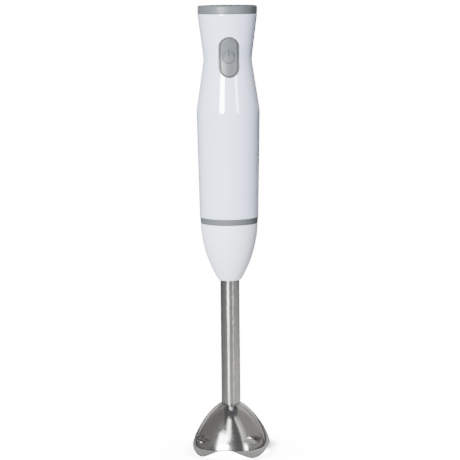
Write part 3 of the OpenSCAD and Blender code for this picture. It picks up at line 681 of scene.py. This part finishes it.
def make_rear_shell():
    """The rear half, with screw wells, the boss for the cord gland, air inlets and air outlets."""
    shell = half_shell("handle_rear", 0.0)
    parts = [post(x, z, 4.8, 1) for x, z in SCREWS] + [post(x, z, 3.4, 1) for x, z in BOARD_SCREWS]
    carve(shell, solid("tool", *stacked_meshes(parts)), "UNION")
    boss = [(0.0, 14.0), (8.6, 14.0)] + fillet((8.1, 23.5), 0.5, 0, 90, 4) + [(0.0, 24.0)]
    carve(shell, solid("tool", *bar_y(0.0, GLAND_Z, boss, 64)), "UNION")
    cuts = [bar_y(x, z, [(0.0, -1.0), (1.75, -1.0), (1.75, 12.0), (3.1, 12.0), (3.1, 40.0), (0.0, 40.0)])
            for x, z in SCREWS]
    cuts += [bar_y(x, z, [(0.0, -1.0), (1.5, -1.0), (1.5, 12.0), (0.0, 12.0)], 24) for x, z in BOARD_SCREWS]
    cuts.append(bar_y(0.0, GLAND_Z, [(0.0, -1.0), (6.0, -1.0), (6.0, 40.0), (0.0, 40.0)]))
    for z in VENT_LEVELS:
        cuts.append(prism(slot_outline(15.0, 1.8), lambda u, v, k, z=z: (u, (10.0, 30.0)[k], z + 0.9 + v)))
    for bearing in OUTLET_BEARINGS:
        c, s = math.cos(math.radians(bearing)), math.sin(math.radians(bearing))
        cuts.append(prism(slot_outline(4.4, 2.0), lambda u, v, k, c=c, s=s: (
            (15.0, 35.0)[k] * c - v * s, (15.0, 35.0)[k] * s + v * c, OUTLET_Z + u)))
    carve(shell, solid("tool", *stacked_meshes(cuts)), "DIFFERENCE")
    dress(shell, "motor_unit", "gloss_white", "rear_shell", surface=handle_surface)


def make_cap():
    """The flat cap, with a skirt that plugs into the handle."""
    (r, foot), top = HANDLE_TOP, 380.0
    edge = fillet((r - 1.8, top - 1.8), 1.8, 0, 90, 10)
    face = [(r - 1.8 - 2.2 * i, top) for i in range(1, 10)] + [(0.0, top)]
    profile = [(0.0, top - 2.0), (20.3, top - 2.0), (20.3, foot - 2.2), (22.3, foot - 2.2), (22.3, foot),
               (r - 0.4, foot), (r - 0.4, foot + 0.35)]
    profile += fillet((r - 0.15, foot + 0.55), 0.15, -90, 0, 3) + [(r, foot + 1.6), (r, foot + 3.2)]
    dress(lathe("cap", profile + edge + face, 160), "motor_unit", "trim_grey", "top_cap")


# ---------- Button ----------

def on_handle(x, z, lift):
    """A point above the handle's front surface."""
    r = float(handle_r(z)) + lift
    return (x, -math.sqrt(r * r - x * x), z)


def ring_loops(width, height, loops, arc, side):
    """Rings of points that follow the front of the handle, from (inset, lift) pairs."""
    points, count = [], 2 * (arc + side)
    for inset, lift in loops:
        points += [on_handle(x, BUTTON_Z + z, lift) for x, z in stadium(width, height, inset, arc, side)]
    return points, count


def make_frame():
    """The rim around the button's window."""
    loops = [(-1.3, -3.5), (-1.3, -2.3), (0.0, -2.3), (0.0, -0.3), (0.0, -0.05), (0.06, 0.05), (0.18, 0.12),
             (0.35, 0.15), (0.75, 0.15), (0.95, 0.10), (1.08, 0.0), (1.15, -0.15), (1.15, -0.5), (1.15, -3.5)]
    points, count = ring_loops(FRAME_W, FRAME_H, loops, 48, 32)
    faces = []
    for k in range(len(loops)):
        a, b = k * count, ((k + 1) % len(loops)) * count
        faces += [(a + i, a + (i + 1) % count, b + (i + 1) % count, b + i) for i in range(count)]
    dress(solid("button_rim", points, faces), "motor_unit", "frame_grey", "button_frame")


def mark_distance(x, z):
    """Distance from the centreline of the power mark: a ring that is open at the top, and a bar."""
    ring_r, gap = 4.85, math.radians(33)
    angle = abs(math.atan2(x, z))
    if angle > gap:
        ring = abs(math.hypot(x, z) - ring_r)
    else:
        ring = math.hypot(abs(x) - ring_r * math.sin(gap), z - ring_r * math.cos(gap))
    bar = math.hypot(x, z - min(max(z, 1.4), 5.7))
    return min(ring, bar)


def make_button():
    """The domed pad with the engraved power mark, its flange and its stem."""
    width, height, edge_r, proud = 14.6, 31.2, 0.8, 0.9
    arc, side = 80, 80
    insets = [edge_r * (1 - math.cos(math.radians(a))) for a in range(0, 90, 11)]
    insets += list(np.arange(0.9, 7.2, 0.15)) + [width / 2]
    points, marks, count = [], [], 2 * (arc + side)
    for inset in insets:
        near = min(inset, edge_r)
        fall = edge_r - math.sqrt(max(0.0, edge_r ** 2 - (edge_r - near) ** 2))
        for x, z in stadium(width, height, inset, arc, side):
            d = mark_distance(x, z)
            share = min(1.0, max(0.0, (0.72 - d) / 0.26))
            share = share * share * (3 - 2 * share)
            points.append(on_handle(x, BUTTON_Z + z, proud - fall - 0.22 * share))
            marks.append(share)
    faces = []
    for k in range(len(insets) - 1):
        a, b = k * count, (k + 1) * count
        faces += [(a + i, a + (i + 1) % count, b + (i + 1) % count, b + i) for i in range(count)]
    under = [(width, height, 0.0, -3.55), (width + 2, height + 2, 0.0, -3.55),
             (width + 2, height + 2, 0.0, -5.1), (width + 2, height + 2, 4.0, -5.1),
             (width + 2, height + 2, width / 2 + 1, -5.1)]
    ring = list(range(count))
    for w, h, inset, lift in under:
        base = len(points)
        points += [on_handle(x, BUTTON_Z + z, lift) for x, z in stadium(w, h, inset, arc, side)]
        faces += [(ring[i], ring[(i + 1) % count], base + (i + 1) % count, base + i) for i in range(count)]
        ring = list(range(base, base + count))
    stem = bar_y(0.0, BUTTON_Z, [(0.0, -16.5), (2.2, -16.5), (2.2, -13.4), (1.95, -13.15), (0.0, -13.15)])
    points, faces = stacked_meshes([(points, faces), stem])
    pad = solid("button_pad", points, faces)
    layer = pad.data.attributes.new("mark", "FLOAT", "POINT")
    for i, vertex in enumerate(pad.data.vertices):
        x, y, z = (c / MM for c in vertex.co)
        share = min(1.0, max(0.0, (0.72 - mark_distance(x, z - BUTTON_Z)) / 0.26))
        layer.data[i].value = share if y < -17.5 else 0.0
    dress(pad, "button", "button_grey", "power_button", angle=50)


def make_spring():
    """The coil between the button and the switch."""
    wire, r, turns, steps, sides, travel = 0.35, 3.4, 2.5, 32, 12, 1.3
    low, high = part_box("button_spring")
    front, seat = low[1] / MM + wire, high[1] / MM - wire
    count = int(turns * steps) + 1
    slope = (seat - front) / (2 * math.pi * r * turns)
    points, faces = [], []
    for i in range(count):
        a = 2 * math.pi * i / steps
        out = np.array([math.cos(a), 0.0, math.sin(a)])
        along = np.array([-math.sin(a), slope, math.cos(a)])
        side = np.cross(along / np.linalg.norm(along), out)
        centre = np.array([r * out[0], front + (seat - front) * i / (count - 1), BUTTON_Z + r * out[2]])
        for k in range(sides):
            b = 2 * math.pi * k / sides
            points.append(tuple(centre + wire * (math.cos(b) * out + math.sin(b) * side)))
    for i in range(count - 1):
        a, c = i * sides, (i + 1) * sides
        faces += [(a + k, c + k, c + (k + 1) % sides, a + (k + 1) % sides) for k in range(sides)]
    faces += [tuple(range(sides)), tuple(range(len(points) - 1, len(points) - 1 - sides, -1))]
    coil = solid("button_coil", points, faces)
    dress(coil, "motor_unit", "shaft_steel", "button_spring", angle=60)
    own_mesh(coil)


# ---------- Lock ring, cone and tube ----------

TUBE_R = 8.35


def make_ring():
    """The collar, with a bead that snaps over the spigot and three gaps for the leg's keys."""
    foot, top = 197.7, 202.9
    groove_top = top - 1.4 + 0.2
    bead = 204.6
    profile = [(18.45, foot), (23.9, foot)] + fillet((23.98, foot + 0.3), 0.3, -90, 0, 4)
    profile += [(24.36, 198.8), (24.52, 200.3), (24.68, 201.8)]
    profile += fillet((24.50, top - 0.3), 0.3, 0, 90, 4)
    profile += [(18.4, top), (18.4, bead), (19.4, bead), (19.4, bead + 0.9), (17.2, bead + 0.9),
                (17.2, groove_top), (19.85, groove_top), (19.85, foot + 1.5), (18.45, foot + 1.5)]
    ring = lathe("twist_ring", profile, 144)
    cuts = []
    for mid in (0.0, 120.0, 240.0):
        box = [(17.4, foot - 1.0), (19.75, foot - 1.0), (19.75, foot + 2.0), (17.4, foot + 2.0)]
        cuts.append(sweep(box, 16, mid - 15.0, mid + 15.0))
    carve(ring, solid("tool", *stacked_meshes(cuts)), "DIFFERENCE")
    dress(ring, "collar", "trim_grey", "lock_ring")


def arc_centre(a, b, c):
    """Centre and radius of the circle through three points."""
    d = 2 * (a[0] * (b[1] - c[1]) + b[0] * (c[1] - a[1]) + c[0] * (a[1] - b[1]))
    aa, bb, cc = (p[0] ** 2 + p[1] ** 2 for p in (a, b, c))
    x = (aa * (b[1] - c[1]) + bb * (c[1] - a[1]) + cc * (a[1] - b[1])) / d
    y = (aa * (c[0] - b[0]) + bb * (a[0] - c[0]) + cc * (b[0] - a[0])) / d
    return x, y, math.hypot(a[0] - x, a[1] - y)


CONE_TOP, CONE_MID, CONE_FOOT = (24.3, 197.6), (20.5, 173.5), (9.75, 149.0)
CONE_X, CONE_Y, CONE_R = arc_centre(CONE_TOP, CONE_MID, CONE_FOOT)


def cone_r(z):
    """The cone's outer radius at a height."""
    return CONE_X + math.sqrt(CONE_R ** 2 - (z - CONE_Y) ** 2)


def make_cone():
    """The hollow cone, its side a single arc."""
    top, foot = CONE_TOP[1], CONE_FOOT[1]
    levels = list(np.linspace(top - 0.3, foot + 0.35, 44))
    outer = fillet((24.0, top - 0.3), 0.3, 90, 8, 4) + [(cone_r(z), float(z)) for z in levels[1:]]
    outer += [(9.67, foot + 0.12), (9.47, foot)]
    inner = [(8.37, foot), (8.37, 165.0), (9.95, 165.0), (9.95, 154.2)]
    inner += [(cone_r(z) - 2.2, float(z)) for z in np.linspace(155.0, top, 20) if cone_r(z) - 2.2 > 9.97]
    dress(lathe("neck_cone", outer + inner, 144), "leg", "satin_white", "leg_cone", angle=40)


def make_tube():
    """The tube, with a fine groove where it meets the bell."""
    outer = [(TUBE_R, float(z)) for z in np.linspace(43.5, 175.7, 30)]
    profile = [(7.55, 42.5), (7.9, 42.5), (7.9, 43.2), (8.2, 43.3)] + outer + [(8.15, 176.0), (7.55, 176.0)]
    dress(lathe("shaft_tube", profile, 128), "leg", "tube_steel", "leg_tube")


# ---------- Bell guard ----------

BELL_R = 33.92
BELL_H = 42.5
ARCH_H = 8.1
GAIN = 0.025
LOBE = math.radians(-56.5)
WIDEST = 7.0
BELL_WALL = 1.0
CURVE_R, CURVE_Z = 1.3, 1.4
TAPER, TAPER_POWER = 0.05, 1.6
LOBE_FADE = 22.0
SLOT_LENGTH, SLOT_HEIGHT, SLOT_Z = 19.5, 6.6, 15.5
SMOOTH_BELOW = 0.02


def bell_mean(z):
    """The bell's radius at a height, without its lobes."""
    u = np.clip((z - WIDEST) / (BELL_H - WIDEST), 0.0, 1.0)
    below = np.clip(1 - z / WIDEST, 0.0, 1.0)
    dome = TUBE_R + (BELL_R - TUBE_R) * (1 - u ** CURVE_Z) ** (1 / CURVE_R)
    return dome - TAPER * BELL_R * below ** TAPER_POWER


def bell_r(z, bearing):
    """The bell's radius: its four lobes fade out towards the tube."""
    t = np.clip((BELL_H - z) / LOBE_FADE, 0.0, 1.0)
    share = t * t * (3 - 2 * t)
    return bell_mean(z) * (1 + GAIN * share * np.cos(4 * (bearing - LOBE)))


def rim_height(bearing):
    """The height of the rim, which arches up between the lobes."""
    return ARCH_H * (1 - np.cos(4 * (bearing - LOBE))) / 2


def bell_surface(points):
    """Normals of the bell's outer surface, and which points lie on it."""
    rho = np.hypot(points[:, 0], points[:, 1])
    bearing = np.arctan2(points[:, 1], points[:, 0])
    z = points[:, 2]
    step = 0.02
    high, low = np.minimum(z + step, BELL_H - 0.001), z - step
    dz = (bell_r(high, bearing) - bell_r(low, bearing)) / (high - low)
    db = (bell_r(z, bearing + 1e-4) - bell_r(z, bearing - 1e-4)) / 2e-4
    c, s = np.cos(bearing), np.sin(bearing)
    turn = db / np.maximum(rho, 1.0)
    normal = np.stack([c + turn * s, s - turn * c, -dz], 1)
    normal /= np.linalg.norm(normal, axis=1)[:, None]
    on = np.abs(rho - bell_r(z, bearing)) / np.hypot(1, dz) < SMOOTH_BELOW
    on &= (z > rim_height(bearing) + 0.55) & (z < BELL_H - 0.3)
    return normal, on


def make_bell():
    """The bell: an outer and an inner skin with a round rim, and a lens-shaped slot above each lobe."""
    around, rows = 240, 56
    rim = BELL_WALL / 2
    shares = [(i / rows) ** 1.5 for i in range(rows + 1)]
    bearings = [2 * math.pi * k / around for k in range(around)]

    def outside(t, b):
        z = BELL_H - (BELL_H - rim_height(b) - rim) * t
        return np.array([float(bell_r(z, b)), float(z)])

    def inside(t, b):
        if t > 0.995:
            return outside(1.0, b) - np.array([BELL_WALL, 0.0])
        along = outside(min(1.0, t + 0.01), b) - outside(max(0.0, t - 0.01), b)
        along /= np.linalg.norm(along)
        return outside(t, b) + BELL_WALL * np.array([along[1], -along[0]])

    columns = []
    for b in bearings:
        column = [outside(t, b) for t in shares]
        edge = column[-1]
        column += [edge + np.array([-rim + rim * math.cos(a), -rim * math.sin(a)])
                   for a in np.linspace(0, math.pi, 9)[1:-1]]
        column += [inside(t, b) for t in reversed(shares[2:])]
        column += [np.array([7.55, BELL_H - 1.0]), np.array([7.55, BELL_H])]
        columns.append(column)
    n = len(columns[0])
    points = [(r * math.cos(b), r * math.sin(b), z)
              for b, column in zip(bearings, columns) for r, z in column]
    faces = []
    for i in range(around):
        a, c = i * n, ((i + 1) % around) * n
        faces += [(a + k, c + k, c + (k + 1) % n, a + (k + 1) % n) for k in range(n)]
    bell = solid("guard_bell", points, faces)
    r = (SLOT_LENGTH ** 2 / 4 + SLOT_HEIGHT ** 2 / 4) / SLOT_HEIGHT
    half = math.degrees(math.asin(SLOT_LENGTH / 2 / r))
    upper = fillet((0, SLOT_HEIGHT / 2 - r), r, 90 - half, 90 + half, 40)
    lens = upper + [(-u, -v) for u, v in upper[1:-1]]
    cuts = []
    for i in range(4):
        c, s = math.cos(LOBE + i * math.pi / 2), math.sin(LOBE + i * math.pi / 2)
        cuts.append(prism(lens, lambda u, v, k, c=c, s=s: (
            (20.0, 50.0)[k] * c - u * s, (20.0, 50.0)[k] * s + u * c, SLOT_Z + v)))
    carve(bell, solid("tool", *stacked_meshes(cuts)), "DIFFERENCE")
    dress(bell, "leg", "bell_steel", "bell_guard", surface=bell_surface, angle=38)


# ---------- Blade ----------

def make_blade():
    """A strip with one wing bent down and one up, and a ground edge along the leading side of each."""
    top, thick, root, tip = 18.0, 1.3, 13.0, 23.0
    slope = math.tan(math.radians(24))
    lead = [(0.0, -5.4), (5.0, -5.4), (13.0, -4.4), (19.27, -3.2), (22.68, 0.4)]
    trail = [(0.0, 5.4), (5.0, 5.6), (13.0, 5.2), (23.03, 4.2)]
    ground_from, ground_ease, lip = 7.0, 1.5, 0.2

    def rise(x):
        soft = 1.2
        over = abs(x) - root
        lift = slope * (0.0 if over < -soft else over if over > soft else (over + soft) ** 2 / (4 * soft))
        return math.copysign(lift, x) if lift else 0.0

    def at(points, x):
        return float(np.interp(x, [p[0] for p in points], [p[1] for p in points]))

    def edges(x):
        front, back = at(lead, abs(x)), at(trail, abs(x))
        return (front, back) if x >= 0 else (-back, -front)

    wing = np.linspace(root, tip, 26)[1:]
    stations = [float(x) for x in np.concatenate([-wing[::-1], np.linspace(-root, root, 27), wing])]
    points, faces = [], []
    for x in stations:
        y0, y1 = edges(x)
        z = top + rise(x)
        reach = (y1 - y0) / 3 if y1 - y0 < 4.6 else 2.2
        ys = [y0, y0 + 0.12, y0 + reach, (y0 + y1) / 2, y1 - reach, y1 - 0.12, y1]
        ground = min(1.0, max(0.0, abs(x) - ground_from) / ground_ease) * (thick - lip)
        drop = [ground, ground * 0.95, 0.0, 0.0, 0.0, 0.0, 0.0]
        if x <= 0:
            drop.reverse()
        row = [(x, y, z - d) for y, d in zip(ys, drop)]
        row += [(x, y, z - thick) for y in reversed(ys)]
        points += row
    n = len(row)
    for i in range(len(stations) - 1):
        a, c = i * n, (i + 1) * n
        faces += [(a + k, c + k, c + (k + 1) % n, a + (k + 1) % n) for k in range(n)]
    faces.append(tuple(range(n)))
    faces.append(tuple(reversed(range((len(stations) - 1) * n, len(stations) * n))))
    blade = solid("cutter", points, faces)
    low, high = top - 6, top + 6
    bore = sweep([(0.0, low), (3.0, low), (3.0, high), (0.0, high)], 48)
    carve(blade, solid("tool", *bore), "DIFFERENCE")
    bevel = blade.modifiers.new("bevel", "BEVEL")
    bevel.width = 0.08 * MM
    bevel.segments = 2
    bevel.limit_method = "ANGLE"
    bevel.angle_limit = math.radians(40)
    dress(blade, "drive_line", "blade_steel", "blade", angle=25)


# ---------- Stage ----------

BACKDROP = 16.0
DAYLIGHT = (0.95, 0.975, 1.0)


def emitter(name, place, target, size, energy, colour=(1.0, 1.0, 1.0)):
    """A soft panel of light that faces target."""
    data = bpy.data.lights.new(name, "AREA")
    data.shape = "RECTANGLE"
    data.size, data.size_y = size
    data.energy = energy
    data.color = colour
    lamp = bpy.data.objects.new(name, data)
    bpy.context.scene.collection.objects.link(lamp)
    way = Vector(target) - Vector(place)
    lamp.location = place
    lamp.rotation_euler = way.to_track_quat("-Z", "Y").to_euler()
    return lamp


def polar(bearing, distance, height):
    """A place by its bearing in degrees from the front, positive to the right as seen from the front."""
    a = math.radians(-93.0 + bearing)
    return (distance * math.cos(a), distance * math.sin(a), height)


def make_world():
    """White behind the tool, and a dim blue-white for everything that it lights or that mirrors it."""
    world = bpy.data.worlds.new("studio")
    world.use_nodes = True
    tree = world.node_tree
    tree.nodes.clear()
    out = tree.nodes.new("ShaderNodeOutputWorld")
    mix = tree.nodes.new("ShaderNodeMixShader")
    path = tree.nodes.new("ShaderNodeLightPath")
    soft = tree.nodes.new("ShaderNodeBackground")
    soft.inputs["Color"].default_value = (0.94, 0.96, 1.0, 1.0)
    soft.inputs["Strength"].default_value = 0.13
    seen = tree.nodes.new("ShaderNodeBackground")
    seen.inputs["Color"].default_value = (1.0, 1.0, 1.0, 1.0)
    seen.inputs["Strength"].default_value = BACKDROP
    tree.links.new(path.outputs["Is Camera Ray"], mix.inputs[0])
    tree.links.new(soft.outputs[0], mix.inputs[1])
    tree.links.new(seen.outputs[0], mix.inputs[2])
    tree.links.new(mix.outputs[0], out.inputs["Surface"])
    bpy.context.scene.world = world


def make_floor():
    """Pale paper under the tool, unseen from below. Its camera glow carries painted shadow that no light
    casts: a ring at the bell's rim and a dark disc under the bell to the back right. Its colour carries a
    painted pool of light to the right of the tool.
    """
    size, n = 6000.0, 12
    places = [-size + 2 * size * i / n for i in range(n + 1)]
    points = [(x, y, 0.0) for x in places for y in places]
    faces = [(i * (n + 1) + j, (i + 1) * (n + 1) + j, (i + 1) * (n + 1) + j + 1, i * (n + 1) + j + 1)
             for i in range(n) for j in range(n)]
    mesh = bpy.data.meshes.new("floor")
    mesh.from_pydata([tuple(c * MM for c in p) for p in points], [], faces)
    floor = bpy.data.objects.new("floor", mesh)
    bpy.context.scene.collection.objects.link(floor)
    floor.location.z = -0.0002
    material = bpy.data.materials.new("floor_paper")
    material.use_nodes = True
    tree = material.node_tree
    tree.nodes.clear()

    def add(kind, **settings):
        node = tree.nodes.new(kind)
        for key, value in settings.items():
            setattr(node, key, value)
        return node

    out = add("ShaderNodeOutputMaterial")
    total = add("ShaderNodeAddShader")
    paper = add("ShaderNodeBsdfDiffuse")
    glow = add("ShaderNodeEmission")
    path = add("ShaderNodeLightPath")
    coords = add("ShaderNodeTexCoord")

    def ring(middle, reach, points):
        """A value by distance from middle, along a curve that ends at reach."""
        shift = add("ShaderNodeVectorMath", operation="SUBTRACT")
        shift.inputs[1].default_value = middle
        length = add("ShaderNodeVectorMath", operation="LENGTH")
        share = add("ShaderNodeMath", operation="MULTIPLY", use_clamp=True)
        share.inputs[1].default_value = 1 / reach
        ramp = add("ShaderNodeFloatCurve")
        curve = ramp.mapping.curves[0]
        curve.points[0].location = points[0]
        curve.points[1].location = points[-1]
        for x, y in points[1:-1]:
            curve.points.new(x, y)
        for point in curve.points:
            point.handle_type = "VECTOR"
        ramp.mapping.update()
        tree.links.new(coords.outputs["Object"], shift.inputs[0])
        tree.links.new(shift.outputs["Vector"], length.inputs[0])
        tree.links.new(length.outputs["Value"], share.inputs[0])
        tree.links.new(share.outputs[0], ramp.inputs["Value"])
        return ramp.outputs[0]

    # Painted pool of light: the paper's colour is lightest around a spot to the right of the tool and a
    # little in front, and darkens outwards; reflections and bounced light see it.
    tone = ring((0.32, -0.10, 0.0), 0.9, [(0.0, 0.42), (0.25, 0.36), (0.40, 0.24), (0.70, 0.13), (1.0, 0.11)])
    tree.links.new(tone, paper.inputs["Color"])
    # Painted shadow that no light casts: a dark ring just at the bell's rim, and (inside) a dark disc
    # off-centre under the bell towards the back right, reaching out past the rim there, so that the floor
    # seen through the right slot is dark. Both dim only the glow that the camera sees.
    painted_contact_shadow = ring((0.0, 0.0, 0.0), 0.08, [(0.0, 1.0), (0.36, 0.9), (0.43, 0.45), (0.52, 0.80), (1.0, 1.0)])
    inside = ring((0.015, 0.023, 0.0), 0.05,
                  [(0.0, 0.006), (0.36, 0.012), (0.48, 0.40), (0.60, 1.0), (1.0, 1.0)])
    shadow = add("ShaderNodeMath", operation="MULTIPLY")
    tree.links.new(painted_contact_shadow, shadow.inputs[0])
    tree.links.new(inside, shadow.inputs[1])
    gain = add("ShaderNodeMath", operation="MULTIPLY")
    gain.inputs[1].default_value = BACKDROP
    both = add("ShaderNodeMath", operation="MULTIPLY")
    tree.links.new(path.outputs["Is Camera Ray"], gain.inputs[0])
    tree.links.new(gain.outputs[0], both.inputs[0])
    tree.links.new(shadow.outputs[0], both.inputs[1])
    tree.links.new(both.outputs[0], glow.inputs["Strength"])
    tree.links.new(paper.outputs[0], total.inputs[0])
    tree.links.new(glow.outputs[0], total.inputs[1])
    side = add("ShaderNodeNewGeometry")
    clear = add("ShaderNodeBsdfTransparent")
    choose = add("ShaderNodeMixShader")
    passes = add("ShaderNodeMath", operation="MAXIMUM")
    tree.links.new(side.outputs["Backfacing"], passes.inputs[0])
    tree.links.new(path.outputs["Is Shadow Ray"], passes.inputs[1])
    tree.links.new(passes.outputs[0], choose.inputs[0])
    tree.links.new(total.outputs[0], choose.inputs[1])
    tree.links.new(clear.outputs[0], choose.inputs[2])
    tree.links.new(choose.outputs[0], out.inputs["Surface"])
    mesh.materials.append(material)
    floor.parent = frame["bodies"]["leg"]


def make_lights():
    """Panels that give the highlights, then panels that light the tool without being mirrored in it."""
    emitter("key_low", polar(-23, 1.9, 0.60), (0, 0, 0.31), (0.62, 0.60), 78.0, DAYLIGHT)
    emitter("second_low", polar(34.5, 1.9, 0.60), (0, 0, 0.31), (0.28, 0.60), 9.0)
    emitter("key_mid", polar(-26, 1.5, 1.05), (0, 0, 0.05), (0.50, 0.50), 14.0, DAYLIGHT)
    emitter("key_tall", polar(-15, 1.5, 1.75), (0, 0, 0.1), (0.28, 1.2), 7.0)
    emitter("left_wall", polar(-88, 1.7, 1.3), (0, 0, 0.2), (3.0, 2.6), 3.0, (1.0, 0.95, 0.88))
    emitter("right_wall", polar(84, 1.7, 1.4), (0, 0, 0.2), (3.4, 2.6), 7.5, (1.0, 0.98, 0.94))
    emitter("right_soft", polar(37, 1.6, 1.45), (0, 0, 0.2), (0.72, 2.2), 2.0)
    emitter("right_edge", polar(30, 1.5, 1.40), (0, 0, 0.2), (0.30, 2.0), 1.4)
    emitter("rear_left", polar(-146, 1.8, 1.3), (0, 0, 0.2), (1.5, 2.6), 1.7, (1.0, 0.96, 0.90))
    emitter("rear_right", polar(146, 1.8, 1.3), (0, 0, 0.2), (1.7, 2.6), 5.0, (1.0, 0.98, 0.95))
    emitter("rear", polar(160, 2.2, 1.0), (0, 0, 0.2), (1.2, 1.2), 3.0)
    emitter("rear_2", polar(-150, 2.2, 0.8), (0, 0, 0.2), (0.9, 1.2), 2.0)
    emitter("under", (0.0, 0.0, -0.30), (0, 0, 0), (0.10, 0.10), 2.0)
    soft = [emitter("key_soft", polar(-24, 1.9, 0.60), (0, 0, 0.31), (0.8, 0.8), 66.0, DAYLIGHT),
            emitter("back_soft", polar(180, 2.0, 0.75), (0, 0, 0.25), (1.3, 1.3), 85.0, (0.97, 0.985, 1.0)),
            emitter("top", (0.0, 0.3, 2.4), (0, 0, 0), (1.8, 1.8), 10.0)]
    for lamp in soft:
        lamp.visible_glossy = False


make_camera()
MATERIALS = make_materials()
for row in frame["record"]["subparts"]:
    for place in NODES[row["node"]].material_slots:
        place.material = MATERIALS[row["material_slot"]]
make_front_shell()
make_rear_shell()
make_cap()
make_frame()
make_button()
make_spring()
make_ring()
make_cone()
make_tube()
make_bell()
make_blade()
make_world()
make_floor()
make_lights()
